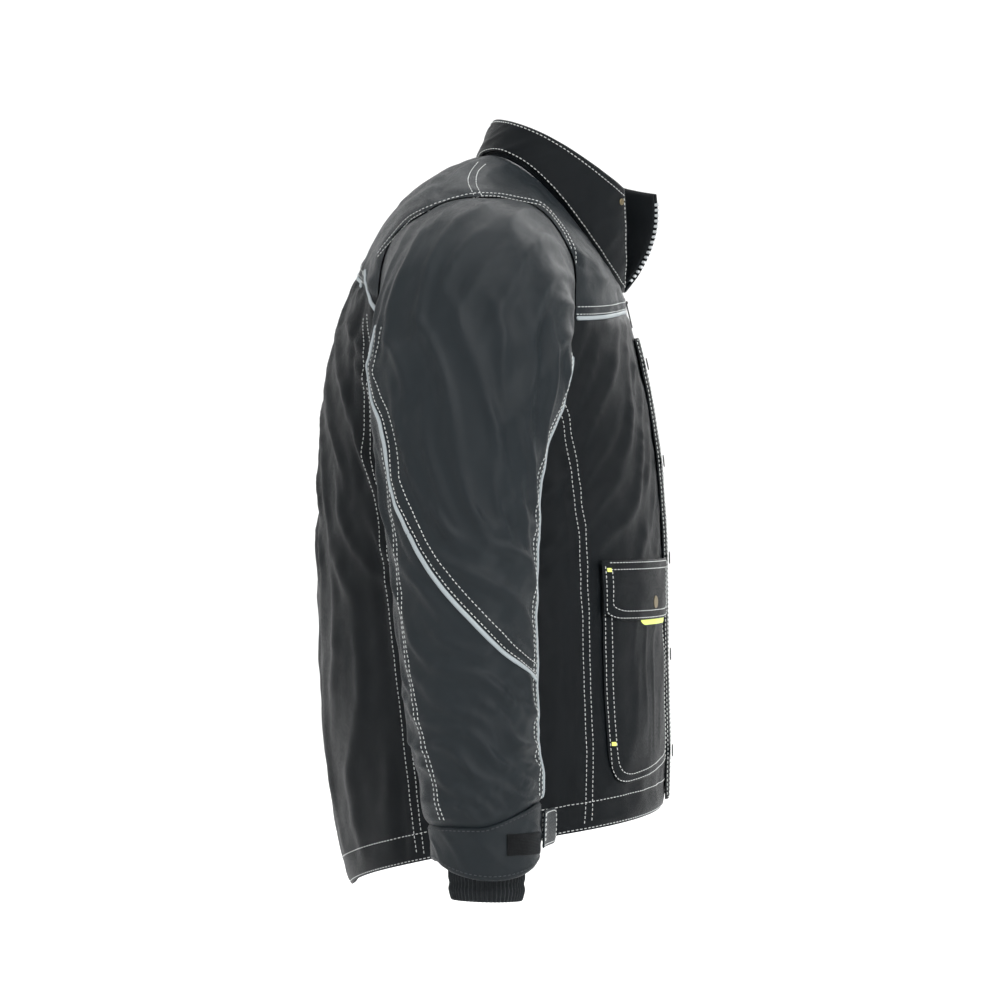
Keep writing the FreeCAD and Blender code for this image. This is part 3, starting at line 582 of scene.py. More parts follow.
MATS = {
    "shell": cloth_material("shell_cloth", (0.0055, 0.0090, 0.0115), rough=0.40, sheen=0.0, specular=0.19,
                            bump=0.35),
    # a darker copy of the shell cloth above: painted shade for the body panels, collar, storm flap and
    # pockets, which are the same cloth as the sleeves and yokes
    "shell_dark": cloth_material("shell_cloth_painted_shade", (0.0026, 0.0040, 0.0052), rough=0.42, sheen=0.0,
                                 specular=0.10, bump=0.35),
    "lining": cloth_material("lining_cloth", (0.006, 0.0065, 0.0075), rough=0.42, sheen=0.02, weave=2200,
                             bump=0.12),
    "rib": cloth_material("rib_knit", (0.006, 0.008, 0.0095), rough=0.85, sheen=0.08, specular=0.25,
                          weave=900, bump=0.5),
    "tape": cloth_material("woven_tape", (0.012, 0.012, 0.013), rough=0.7, weave=1100, bump=0.5),
    "piping": cloth_material("reflective_piping", (0.25, 0.285, 0.30), rough=0.42, sheen=0.02, weave=2500,
                             bump=0.1, specular=0.7),
    "yellow": cloth_material("yellow_tape", (0.78, 0.92, 0.16), rough=0.6, sheen=0.3, weave=1000, bump=0.5),
    "pile": cloth_material("hook_and_loop", (0.004, 0.0045, 0.005), rough=0.95, sheen=0.05, specular=0.15,
                           weave=700, bump=1.0),
    "thread": solid_material("white_thread", (0.55, 0.57, 0.56), rough=0.65, scale=900, bump=0.3),
    "dark_thread": solid_material("dark_thread", (0.02, 0.024, 0.028), rough=0.6, scale=900, bump=0.3),
    "yellow_thread": solid_material("yellow_thread", (0.80, 0.88, 0.20), rough=0.6, scale=900, bump=0.3),
    "zip_plastic": solid_material("zip_plastic", (0.42, 0.44, 0.45), rough=0.35, scale=500, bump=0.05),
    "zip_metal": solid_material("zip_enamel", (0.03, 0.03, 0.032), rough=0.35, metallic=0.6, scale=400,
                                bump=0.05),
    "dark_enamel": solid_material("dark_enamel", (0.006, 0.007, 0.008), rough=0.5, specular=0.25, scale=400,
                                  bump=0.05),
    "brass": solid_material("antique_brass", (0.16, 0.13, 0.075), rough=0.38, metallic=1.0, scale=350,
                            bump=0.1, vary=0.35),
}


def dress(obj, mat):
    obj.data.materials.clear()
    obj.data.materials.append(MATS[mat])
    return obj


def worn(piece, body_name, *nodes):
    """Hangs a piece on a body, where it stands for the nodes."""
    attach(piece, body_name)
    if nodes:
        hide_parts(*nodes)
    return piece


# ---------------------------------------------------------------- cloth as doubled surfaces
def vertex_normals(p, faces):
    n = np.zeros_like(p)
    a, b, c, d = (p[faces[:, k]] for k in range(4))
    f = np.cross(c - a, d - b)
    for k in range(4):
        np.add.at(n, faces[:, k], f)
    return n / (np.linalg.norm(n, axis=1, keepdims=True) + 1e-12)


def rounded(d, wrap=0.0):
    """A settled mesh, subdivided once. Each face keeps its four parts together."""
    obj = make_mesh("rounding", d["p"], d["faces"], d["uv"], wrap)
    sub = obj.modifiers.new("round", "SUBSURF")
    sub.levels = sub.render_levels = 1
    apply_modifiers(obj)
    me = obj.data
    p = coords(obj) * 1000
    faces = np.zeros(len(me.loops), int)
    me.loops.foreach_get("vertex_index", faces)
    at = np.zeros(len(me.loops) * 2)
    me.uv_layers[0].data.foreach_get("uv", at)
    uv = np.zeros((len(p), 2))
    uv[faces] = at.reshape(-1, 2)
    faces = faces.reshape(-1, 4)
    bpy.data.objects.remove(obj)
    bpy.data.meshes.remove(me)
    return {"p": p, "faces": faces, "uv": uv, "n": vertex_normals(p, faces),
            "from": np.arange(len(faces)) // 4, "tree": BVHTree.FromPolygons(p.tolist(), faces.tolist())}


def rim_edges(faces, count):
    """The open edges of some faces, in their faces' direction."""
    a, b = faces, np.roll(faces, -1, axis=1)
    forward, back = (a * count + b).ravel(), (b * count + a).ravel()
    lone = ~np.isin(forward, back)
    return a.ravel()[lone], b.ravel()[lone]


def two_faced(name, outer, inner, faces, uv, mat, wrap=0.0):
    """A closed piece with an outer and an inner face, and a rim between their open edges."""
    count = len(outer)
    a, b = rim_edges(faces, count)
    rim = np.stack([b, a, a + count, b + count], -1)
    every = np.concatenate([faces, faces[:, ::-1] + count, rim])
    obj = make_mesh(name, np.concatenate([outer, inner]), every, np.concatenate([uv, uv]), wrap)
    return dress(obj, mat)


CLOTH_THICK = 1.1


def cut_cloth(name, d, chosen, mat, wrap=0.0):
    """A panel of the chosen faces of a settled mesh, shaded by the whole mesh's directions."""
    faces = d["faces"][chosen]
    used = np.unique(faces)
    index = np.full(len(d["p"]), -1)
    index[used] = np.arange(len(used))
    p, n = d["p"][used], d["n"][used]
    obj = two_faced(name, p, p - n * CLOTH_THICK, index[faces], d["uv"][used], mat, wrap)
    obj.data.normals_split_custom_set_from_vertices(np.concatenate([n, -n]).tolist())
    return obj


def crumple(u, v, lean, across, along, seed):
    """Long soft folds that come and go, leaning by lean degrees. Their height is from about -0.4 to 1."""
    t = math.radians(lean)
    a = (u * math.cos(t) + v * math.sin(t)) / across
    b = (v * math.cos(t) - u * math.sin(t)) / along
    a = a + 0.8 * np.sin(1.3 * b + seed) + 0.35 * np.sin(2.1 * b + 0.7 * a + 2 * seed)
    gate = 0.5 + 0.5 * np.sin(1.9 * b + 0.55 * a + 2.3 * seed)
    w, w2 = np.sin(a + 1.7 * seed), np.sin(1.43 * a + 1.1 * np.sin(0.8 * b) + 3.1 * seed)
    return gate * np.exp(-(w / 0.42) ** 2) + (1 - gate) * 0.8 * np.exp(-(w2 / 0.45) ** 2) - 0.35


def between(x, a, b, soft):
    """1 from a to b and 0 beyond, with soft ends."""
    return smooth(a - soft, a + soft, x) * (1 - smooth(b - soft, b + soft, x))


def shell_folds(p, angle):
    """How far the shell's folds stand out, in millimetres."""
    side = np.where(angle <= 180, 1.0, -1.0)
    out = np.where(angle <= 180, angle, 360 - angle)
    u, v = out * 3.4, -p[:, 2]
    seed = np.where(side > 0, 0.9, 0.0)
    front, back = 1 - smooth(66, 84, out), smooth(98, 116, out)
    h = 4.2 * front * between(v, 175, 430, 40) * crumple(u, v, -38, 13.0, 60, 0.4 + seed)
    h += 2.0 * front * between(v, 380, 640, 50) * crumple(u, v, 10, 17.0, 90, 1.9 + seed)
    h += 5.0 * back * between(v, 120, 420, 40) * crumple(u, v, 34, 14.0, 55, 2.6 + seed)
    h += 3.2 * back * between(v, 380, 690, 60) * crumple(u, v, 8, 21.0, 120, 4.1 + seed)
    h += 1.6 * (1 - front) * (1 - back) * crumple(u, v, 12, 16.0, 80, 5.3 + seed)
    h += 1.3 * between(v, 20, 150, 20) * crumple(u, v, -60, 10.0, 40, 3.3 + seed)
    calm = between(out, 12, 60, 3) * between(v, 395, 625, 12)
    calm = np.maximum(calm, (np.abs(p[:, 0]) < 52) & (p[:, 1] < 0) & (v > 150))
    return h * (1 - 0.85 * calm), calm


SEAM_SPREAD = 60.0  # how far from a seam the cloth still feels it


def shell_cloth():
    """The shell, settled as cloth, with its folds and its puckered seams."""
    d = make_shell()
    d["flat"] = d["p"]
    p, n = d["p"], vertex_normals(d["p"], d["faces"])
    seam_far = spread(d["seam"] | d["edge"], p, SEAM_SPREAD)
    edge_far = spread(d["edge"], p, SEAM_SPREAD)
    h, calm = shell_folds(p, d["angle"])
    free = smooth(0, 22, edge_far)
    uneven = noise(p, 9.0) * 1.0 + noise(p, 26.0, 3.0) * 1.6 + 0.5 * h
    start = p + n * uneven[:, None] * free[:, None]
    pins = np.where(d["edge"], 1.0, np.where(d["seam"], 0.2, 0.006 + 0.2 * calm))
    pins[(d["ring"] > 7.2) & (np.abs((d["angle"] + 180) % 360 - 180) < 35)] = 1.0
    q = settle("settling_shell", p, d["faces"], pins, (1.045, 1.045, 1.055), start)
    q = capped(p, q, n, 3.4, 7.0)
    q += n * (np.maximum(1.1 * h, -1.6) * free)[:, None]
    n = vertex_normals(q, d["faces"])
    pucker = 0.5 * noise(p, 3.2, 2.0) * np.exp(-((seam_far - 6.0) / 5.0) ** 2)
    groove, ridge = 1.9 * np.exp(-(seam_far / 2.6) ** 2), 1.1 * np.exp(-((seam_far - 12.0) / 7.0) ** 2)
    q += n * (pucker - groove + ridge)[:, None]
    d["p"] = q
    return d


def cuff_seam(angle):
    """The ring of the seam between sleeve and cuff, which rises towards the front."""
    return 10.9 - 0.5 * np.maximum(0, np.cos(np.radians(angle))) ** 1.4


def cuff_end(angle):
    """The ring of the cuff's lower edge, which is lowest on the outside."""
    return 11.87 - np.minimum(0.3, 0.42 * (1 - np.cos(np.radians(np.asarray(angle) - 80))))


SLEEVE_COLUMNS = 108


def make_sleeve(side):
    """One sleeve's shell, with its angles and rings."""
    cols = SLEEVE_COLUMNS
    rows = ring_rows((50, 44, 48, 58, 62, 72, 72, 73, 67, 60, 44), 0, 5.6)
    angle, ring = np.meshgrid(np.arange(cols) * 360.0 / cols, rows, indexing="ij")
    ring = np.where(ring > 9, 9 + (ring - 9) * (cuff_seam(angle) - 9) / 2, ring)
    low = ring - cuff_seam(angle)
    tucked, gathered = 1.6 * (1 - smooth(0.0, 0.3, ring)), 3.0 * between(low, -0.75, -0.1, 0.2)
    depth = -tucked - 2.4 * smooth(-0.12, 0.0, low) + gathered
    p = sleeve(side, angle, ring, depth)
    uv = grid_uv(sleeve(side, angle, ring))
    return {"p": p.reshape(-1, 3), "faces": grid_faces(cols, len(rows), True, side > 0), "rows": rows,
            "uv": uv, "angle": angle.ravel(), "ring": ring.ravel()}


# the sleeves' seams, as angles and rings
SLEEVE_PIPING = ((160, 2.75), (168, 3.05), (172, 3.6), (163, 4.35), (150, 5.0), (146.5, 5.4), (146, 5.75),
                 (141.5, 6.05), (134, 6.4), (124.5, 6.72), (111, 7.1), (98, 7.36), (83, 7.62), (66, 7.9),
                 (48, 8.13), (28, 8.3), (9, 8.42), (2, 8.48))
SLEEVE_FRONT = ((-8, 2.6), (-9, 3.5), (-7, 4.4), (0, 5.3), (1.5, 6.2), (1, 7.2), (1, 8.2), (1, 9.3),
                (1, 10.35))
SLEEVE_BACK = ((149, 5.3), (147, 5.9), (147, 6.7), (147.5, 7.6), (142, 8.5), (134, 9.4), (127, 10.8))


def seam_calm(angle, ring):
    """Near 1 along the sleeve's seams, where the cloth is held taut."""
    calm = np.zeros(np.shape(angle))
    for line, wide in ((SLEEVE_FRONT, 11.0), (SLEEVE_BACK, 7.0), (SLEEVE_PIPING[2:], 9.0)):
        line = np.array(line, float)
        at = np.interp(ring, line[:, 1], line[:, 0])
        off = (angle - at + 180) % 360 - 180
        on = between(ring, line[0, 1], line[-1, 1], 0.15)
        calm = np.maximum(calm, on * np.exp(-(off / wide) ** 2))
    return calm


def sleeve_folds(angle, ring, seed):
    """How far the sleeve's folds stand out, in millimetres."""
    u, v = (angle + 180) % 360 * 1.45, ring * 60.0
    h = 3.2 * between(ring, 0.45, 3.6, 0.4) * crumple(u, v, -12, 11.0, 75, 0.2 + seed)
    h += 4.0 * between(ring, 3.2, 6.6, 0.5) * crumple(u, v, 24, 12.5, 60, 1.3 + seed)
    h += 3.8 * between(ring, 6.2, 8.8, 0.4) * crumple(u, v, 58, 12.0, 45, 2.2 + seed)
    h += 4.6 * between(ring, 8.6, 10.7, 0.3) * crumple(u, v, 72, 9.0, 34, 3.7 + seed)
    ends = smooth(0.05, 0.5, ring) * (1 - smooth(-0.25, -0.02, ring - cuff_seam(angle)))
    wrap = 1 - np.exp(-((u - 522) / 12.0) ** 2) - np.exp(-(u / 12.0) ** 2)
    return h * ends * wrap * (1 - 0.8 * seam_calm(angle, ring))


def sleeve_cloth(side):
    """One sleeve, settled as cloth, with its folds."""
    d = make_sleeve(side)
    d["flat"] = d["p"]
    p, n = d["p"], vertex_normals(d["p"], d["faces"])
    ring, angle = d["ring"], d["angle"]
    free = smooth(0.0, 0.4, ring) * (1 - smooth(10.3, 10.9, ring))
    h = sleeve_folds(angle, ring, 0.0 if side < 0 else 0.8)
    uneven = noise(p, 9.0) * 1.0 + noise(p, 24.0, 5.0) * 1.8 + 0.5 * h
    start = p + n * uneven[:, None] * free[:, None]
    ends = (ring < 0.01) | (ring > cuff_seam(angle) - 0.02)
    pins = np.where(ends, 1.0, 0.006 + 0.25 * seam_calm(angle, ring))
    q = settle("settling_sleeve", p, d["faces"], pins, (1.04, 1.04, 1.07), start)
    q = capped(p, q, n, 5.0, 7.0)
    d["p"] = q + n * (1.2 * h - 0.8 * free)[:, None]
    return d


# ---------------------------------------------------------------- shell and sleeves
SHELL = shell_cloth()
BODY = rounded(SHELL)
SLEEVE_WRAP = 0.5


def shoulder_blend(piece):
    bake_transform(piece)


def elbow_blend(piece):
    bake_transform(piece)


# the body panels take the darker copy of the shell cloth, which is painted shade, and the yokes take the
# lighter one
for k, name in enumerate(PANEL_NAMES):
    chosen = SHELL["panel"][BODY["from"]] == k
    piece = cut_cloth("shell_" + name, BODY, chosen, "shell_dark" if "panel" in name else "shell")
    worn(piece, "coat", name)

SLEEVE = {}


def cut_sleeve(name, side):
    """One sleeve in two pieces, which meet above the elbow."""
    d = sleeve_cloth(side)
    split = int(np.argmin(np.abs(d["rows"] - SLEEVE_SPLIT)))
    is_low = (d["faces"] % len(d["rows"])).min(1) >= split
    r = rounded(d, SLEEVE_WRAP)
    low = is_low[r["from"]]
    upper = cut_cloth(f"sleeve_upper_{name}", r, ~low, "shell", SLEEVE_WRAP)
    lower = cut_cloth(f"sleeve_lower_{name}", r, low, "shell", SLEEVE_WRAP)
    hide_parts(f"sleeve_head_{name}", f"upper_sleeve_outer_{name}", f"upper_sleeve_under_{name}")
    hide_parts(f"sleeve_elbow_{name}", f"forearm_outer_{name}", f"forearm_under_{name}")
    SLEEVE[side] = {"tree": r["tree"], "pieces": (upper, lower)}


for name, side in SIDES:
    cut_sleeve(name, side)
for name, side in SIDES:
    upper, lower = SLEEVE[side]["pieces"]
    shoulder_blend(upper)
    elbow_blend(lower)


# ---------------------------------------------------------------- slabs, trim and thread laid on a surface
def place(fn, u, v):
    """Points of a surface with their outward directions."""
    q = fn(u, v, 0.0)
    n = fn(u, v, 1.0) - q
    return q, n / (np.linalg.norm(n, axis=-1, keepdims=True) + 1e-12)


def dense(a, b, count):
    """Even steps from a to b, with a fine one at either end."""
    t = np.linspace(0, 1, count)
    fine = np.array((0.12, 0.4)) / (count - 1)
    return a + (b - a) * np.sort(np.concatenate([t, fine, 1 - fine]))


REST_REACH, SEAT_REACH = 30.0, 22.0  # how far off a surface is looked for


def rested(tree, q, n, fill=None):
    """How far a surface stands out past points, along their directions, or fill where it isn't there."""
    h = np.zeros(q.shape[:-1])
    for i in np.ndindex(h.shape):
        hit = tree.ray_cast(Vector(q[i] + n[i] * REST_REACH), Vector(-n[i]), 2 * REST_REACH)
        h[i] = REST_REACH - hit[3] if hit[0] is not None else np.nan
    if fill is None:
        fill = np.nanmean(h) if np.isfinite(h).any() else 0.0
    return np.where(np.isnan(h), fill, h)


def blurred(h, times):
    """Heights of a grid, evened out with their neighbours a few times."""
    for _ in range(times):
        e = np.pad(h, 1, mode="edge")
        h = (e[:-2, 1:-1] + e[2:, 1:-1] + e[1:-1, :-2] + e[1:-1, 2:] + 4 * h) / 8
    return h


def slab(name, q, n, low, high, mat, edge=2.0, closed=False, wrap=0.0):
    """A closed sheet between two depths of a surface, rounded off towards its edges."""
    mid, half = (low + high) / 2, (high - low) / 2
    u, v = grid_lengths(q)
    far = np.minimum(v, v[:, -1:] - v)
    if not closed:
        far = np.minimum(far, np.minimum(u, u[-1:] - u))
    t = np.clip(far / edge, 0, 1)
    profile = np.maximum(np.sqrt(1 - (1 - t) ** 2), 0.3)
    faces = grid_faces(q.shape[0], q.shape[1], closed)
    outer = (q + n * (mid + half * profile)[..., None]).reshape(-1, 3)
    inner = (q + n * (mid - half * profile)[..., None]).reshape(-1, 3)
    if (vertex_normals(outer, faces) * n.reshape(-1, 3)).sum() < 0:
        faces = faces[:, ::-1]
    uv = grid_uv(q)
    obj = two_faced(name, outer, inner, faces, uv, mat, wrap)
    return obj, BVHTree.FromPolygons(outer.tolist(), faces.tolist())


def trace(fn, points, step=1.0):
    """A smooth line through points of a surface, in even steps, with outward directions and ring numbers."""
    points = np.array(points, float)
    at = spline(points, np.linspace(0, len(points) - 1, 80 * (len(points) - 1) + 1))
    q = fn(at[:, 0], at[:, 1], 0.0)
    far = np.concatenate([[0], np.cumsum(np.linalg.norm(np.diff(q, axis=0), axis=-1))])
    even = np.arange(0, far[-1], step)
    at = np.stack([np.interp(even, far, at[:, k]) for k in range(2)], -1)
    q, n = place(fn, at[:, 0], at[:, 1])
    return q, n, at


def tangents(q):
    t = np.gradient(q, axis=0)
    return t / (np.linalg.norm(t, axis=-1, keepdims=True) + 1e-12)


def beside(path, off):
    """A line beside another, on the same surface."""
    q, n, at = path
    return q + np.cross(tangents(q), n) * off, n, at


def seated(tree, path, lift=0.0):
    """A line dropped onto a surface."""
    q, n, at = path
    pos, nrm = q.copy(), n.copy()
    keep = np.ones(len(q), bool)
    for i in range(len(q)):
        hit = tree.ray_cast(Vector(q[i] + n[i] * SEAT_REACH), Vector(-n[i]), 2 * SEAT_REACH)
        if hit[0] is None:
            keep[i] = False
            continue
        pos[i] = hit[0]
        side = np.array(hit[1])
        nrm[i] = side if np.dot(side, n[i]) > 0 else -side
    pos, nrm, at = pos[keep], nrm[keep], at[keep]
    if not len(pos):
        return pos, nrm, at
    for _ in range(3):
        e = np.pad(nrm, ((1, 1), (0, 0)), mode="edge")
        nrm = e[:-2] + e[2:] + 2 * nrm
        nrm /= np.linalg.norm(nrm, axis=-1, keepdims=True) + 1e-12
        e = np.pad(pos, ((1, 1), (0, 0)), mode="edge")
        pos = pos * 0.6 + (e[:-2] + e[2:]) * 0.2
    return pos + nrm * lift, nrm, at


def sew(name, paths, mat="thread", length=3.1, gap=1.5, radius=0.42):
    """Every stitch of some seams, as short threads that dip into the cloth at both ends."""
    verts, faces, count = [], [], 0
    stations = np.array((0.0, 0.15, 0.5, 0.85, 1.0)) * length
    rise = np.array((-0.35, 0.2, 0.36, 0.2, -0.35))
    girth = np.array((0.4, 0.9, 1.0, 0.9, 0.4)) * radius
    around = np.radians(np.arange(6) * 60.0)
    for q, n, _ in paths:
        if len(q) < 6:
            continue
        far = np.concatenate([[0], np.cumsum(np.linalg.norm(np.diff(q, axis=0), axis=-1))])
        starts = np.arange(0.4, far[-1] - length, length + gap)
        s = starts[:, None] + stations
        c = np.stack([np.interp(s, far, q[:, k]) for k in range(3)], -1)
        m = np.stack([np.interp(s, far, n[:, k]) for k in range(3)], -1)
        t = c[:, -1:] - c[:, :1]
        t = t / (np.linalg.norm(t, axis=-1, keepdims=True) + 1e-12)
        side = np.cross(t, m)
        side /= np.linalg.norm(side, axis=-1, keepdims=True) + 1e-12
        c = c + m * rise[None, :, None]
        wide, tall = (part[None, None, :, None] * girth[None, :, None, None]
                      for part in (np.cos(around), np.sin(around)))
        ring = c[:, :, None] + side[:, :, None] * wide + m[:, :, None] * tall
        verts.append(ring.reshape(-1, 3))
        i, j, k = np.meshgrid(np.arange(len(starts)), np.arange(4), np.arange(6), indexing="ij")
        a = i * 30 + j * 6 + k
        b = i * 30 + j * 6 + (k + 1) % 6
        faces.append(np.stack([a, b, b + 6, a + 6], -1).reshape(-1, 4) + count)
        count += len(starts) * 30
    return dress(make_mesh(name, np.concatenate(verts), np.concatenate(faces)), mat)


PIPING_HALF, PIPING_HIGH, PIPING_LIFT = 2.2, 1.3, 0.6
PIPING_SIDES = 10


def trim(name, paths):
    """Flattened cord sewn into a seam, tapered at its ends."""
    verts, faces, uvs, count = [], [], [], 0
    around = np.radians(np.arange(PIPING_SIDES) * 360.0 / PIPING_SIDES)
    for q, n, _ in paths:
        if len(q) < 4:
            continue
        q, n = q[::2], n[::2]
        side = np.cross(tangents(q), n)
        size = np.ones(len(q))
        size[[0, -1]] = 0.15
        wide = np.cos(around)[None, :, None] * PIPING_HALF * size[:, None, None]
        tall = np.sin(around)[None, :, None] * PIPING_HIGH * size[:, None, None]
        ring = q[:, None] + side[:, None] * wide + n[:, None] * tall
        verts.append(ring.reshape(-1, 3))
        i, k = np.meshgrid(np.arange(len(q)), np.arange(PIPING_SIDES), indexing="ij")
        uvs.append(np.stack([i * 0.002, k * 0.001], -1).reshape(-1, 2))
        i, k = i[:-1], k[:-1]
        a, b = i * PIPING_SIDES + k, i * PIPING_SIDES + (k + 1) % PIPING_SIDES
        faces.append(np.stack([a, b, b + PIPING_SIDES, a + PIPING_SIDES], -1).reshape(-1, 4) + count)
        count += len(q) * PIPING_SIDES
    return dress(make_mesh(name, np.concatenate(verts), np.concatenate(faces), np.concatenate(uvs)), "piping")


def part_path(path, chosen):
    """The runs of a line where chosen is true."""
    q, n, at = path
    edges = np.flatnonzero(np.diff(np.concatenate([[0], chosen.astype(int), [0]])))
    runs = zip(np.maximum(edges[::2] - 2, 0), edges[1::2] + 2)
    return [(q[a:b], n[a:b], at[a:b]) for a, b in runs]


# ---------------------------------------------------------------- seams of the shell
def mirrored(side, points):
    return [(side * a, r) for a, r in points]


def body_line(side, points):
    return trace(body, mirrored(side, points))


def on_shell(line, lift=0.0):
    return seated(BODY["tree"], line, lift)


def raised(line, height):
    """A line moved straight up."""
    return line[0] + np.array((0, 0, height)), line[1], line[2]


# the body's seams, as angles and rings
ARMHOLE_SEAM = ((124, 7.9), (118, 8.35), (111, 8.8), (103, 9.25), (97, 9.75), (90, 10.2), (82, 10.55),
                (73, 10.8), (66, 10.4), (62.5, 9.7), (61, 8.9), (61.5, 8.0), (62, 7.4))
SHOULDER_LINE = ((107.5, 11.5), (99, 10.8), (90, 10.05))
FRONT_PRINCESS = ((68.5, 5.6), (66, 5.0), (64.5, 4.4), (63, 3.7), (62, 3.0), (62, 2.0), (62.5, 1.2),
                  (65, 0.1))
BACK_PRINCESS = ((127, 6.6), (122, 6.0), (121, 5.2), (120.5, 4.4), (117, 3.8), (114, 3.0), (110.5, 2.0),
                 (109, 1.0), (108.5, 0.1))
BACK_ARM_PIPING = ((139, 7.4), (133, 7.15), (125, 6.9), (119, 6.65), (116, 6.2))
YOKE_ANGLES = ((62.0, 50.0, 38.0, 26.0, 14.0, 6.0), (137.0, 150.0, 165.0, 179.5))
# how far stitch lines are from their seams or edges
TWINS = ((ARMHOLE_SEAM, 2.5), (SHOULDER_LINE, 4.0), (FRONT_PRINCESS, 4.0), (BACK_PRINCESS, 4.0))
YOKE_TWIN, HEM_ROWS, EDGE_ROW = (3.2, 10.5), (3.0, 28.0), 5.0


def shell_seam_lines(side):
    """Every stitch line of one side of the body."""
    lines = []
    for points, off in TWINS:
        line = body_line(side, points)
        lines += [on_shell(beside(line, way * off)) for way in (-1, 1)]
    for angles in YOKE_ANGLES:
        line = body_line(side, [(a, 7.02) for a in angles])
        lines += [on_shell(raised(line, up)) for up in YOKE_TWIN]
    for up in HEM_ROWS:
        angles = np.linspace(8, 180, 40) * side
        hem = [(a, float(height_ring(a, on_ring(RINGS, a, 0.0)[..., 2] + up))) for a in angles]
        lines.append(on_shell(trace(body, hem)))
    edge = [(float(width_angle(FRONT_GAP + EDGE_ROW, np.array(r))), r) for r in np.linspace(0.1, 11.6, 50)]
    return lines + [on_shell(body_line(side, edge))]


worn(sew("shell_stitching", [line for _, side in SIDES for line in shell_seam_lines(side)]), "coat")
yoke_cords, back_cords = [], []
for _, side in SIDES:
    for a, b in ((61.5, 5.0), (137.5, 179.9)):
        line = body_line(side, [(mix(a, b, t), 7.0) for t in np.linspace(0, 1, 9)])
        yoke_cords.append(on_shell(line, PIPING_LIFT))
    back_cords.append(on_shell(body_line(side, BACK_ARM_PIPING), PIPING_LIFT))
worn(trim("yoke_piping_strip", yoke_cords), "coat", "yoke_piping")
worn(trim("armhole_piping", back_cords), "coat")


# ---------------------------------------------------------------- seams of the sleeves
def arm_surface(side):
    return lambda u, v, depth=0.0: sleeve(side, u, v, depth)


def sleeve_runs(lines, low):
    """The runs of some lines on the lower sleeve, or on the upper one."""
    return [run for line in lines for run in part_path(line, (line[2][:, 1] > SLEEVE_SPLIT) == low)]


def sleeve_trim(name, side):
    """The stitching and piping of one sleeve, in the same two pieces as its cloth."""
    arm, tree = arm_surface(side), SLEEVE[side]["tree"]
    curved, front, back = trace(arm, SLEEVE_PIPING), trace(arm, SLEEVE_FRONT), trace(arm, SLEEVE_BACK)
    rows = ((curved, (-4.6, -13.0)), (front, (3.6, 9.5)), (back, (0.0, 5.0)))
    seams = [seated(tree, beside(line, -side * off)) for line, offs in rows for off in offs]
    cords = [seated(tree, curved, PIPING_LIFT), seated(tree, front, PIPING_LIFT)]
    for label, low in (("upper", False), ("lower", True)):
        threads = sew(f"sleeve_stitching_{label}_{name}", sleeve_runs(seams, low))
        piping = trim(f"sleeve_piping_{label}_{name}", sleeve_runs(cords, low))
        for piece in (threads, piping):
            if low:
                elbow_blend(piece)
            else:
                shoulder_blend(piece)


for name, side in SIDES:
    sleeve_trim(name, side)


# ---------------------------------------------------------------- quilted lining, with its wadding
QUILT_PITCH = 58.0
LINING_DEPTH, QUILT_DEPTH, QUILT_BULGE = 6.2, 7.4, 3.6


def quilt(u, v):
    """The depth of diamond quilting at cloth places in millimetres, 0 in its seams and 1 between them."""
    a, b = np.abs(np.sin(np.pi * (u + v) / QUILT_PITCH)), np.abs(np.sin(np.pi * (u - v) / QUILT_PITCH))
    return np.sqrt(np.minimum(a, b))


def lining_piece(name, start, end, nodes):
    """Quilted lining of the body between two angles, cut away round the armhole."""
    angles = np.linspace(start, end, int(abs(end - start) * 0.9))
    rings = np.concatenate([np.linspace(0.16, 7, 120), np.linspace(7.1, 11.7, 44)])
    u, v = np.meshgrid(angles, rings, indexing="ij")
    q, n = place(body, u, v)
    cy, cz, hy, hz = ARMHOLE
    g = np.hypot((q[..., 1] - cy) / hy, (q[..., 2] - cz) / hz)
    g = np.where(np.abs(q[..., 0]) > TORSO_BEYOND, g, 9.0).ravel()
    faces = grid_faces(*q.shape[:2])
    faces = faces[g[faces].mean(1) > 1.08]
    outer = (q - n * LINING_DEPTH).reshape(-1, 3)
    inner = (q - n * (QUILT_DEPTH + QUILT_BULGE * quilt(u * 3.4, -q[..., 2]))[..., None]).reshape(-1, 3)
    if (vertex_normals(outer, faces) * n.reshape(-1, 3)).sum() < 0:
        faces = faces[:, ::-1]
    used = np.unique(faces)
    index = np.full(len(outer), -1)
    index[used] = np.arange(len(used))
    obj = two_faced(name, outer[used], inner[used], index[faces], grid_uv(q)[used], "lining")
    worn(obj, "coat", *nodes)


def sleeve_lining(name, side):
    u, v = np.meshgrid(np.arange(72) * 5.0, np.linspace(6.7, 10.9, 60), indexing="ij")
    q, n = place(arm_surface(side), u, v)
    lining, _ = slab(f"sleeve_lining_{name}", q, n, -10.5, -8.6, "lining", closed=True, wrap=SLEEVE_WRAP)
    elbow_blend(lining)
    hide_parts(f"forearm_wadding_{name}")


lining_piece("quilted_lining_back", 111.0, 249.0, ("wadding_back", "lining_back"))
for name, side in SIDES:
    nodes = (f"wadding_front_{name}", f"lining_front_{name}")
    lining_piece(f"quilted_lining_front_{name}", side * 7.5, side * 110.0, nodes)
    sleeve_lining(name, side)


# ---------------------------------------------------------------- collar
def collar_edge(ring):
    """The angle of the collar's front edge at a ring."""
    return mix(COLLAR_OPEN[0], COLLAR_OPEN[1], ring / 3.0)


def collar_grid(rings, inset=0.0):
    s = dense(0, 1, 150)
    edge = collar_edge(rings) + inset
    angle = edge[None] + (360 - 2 * edge[None]) * s[:, None]
    angle = np.where(s[:, None] > 0.5, angle - 360, angle)
    return angle, np.broadcast_to(rings, angle.shape)


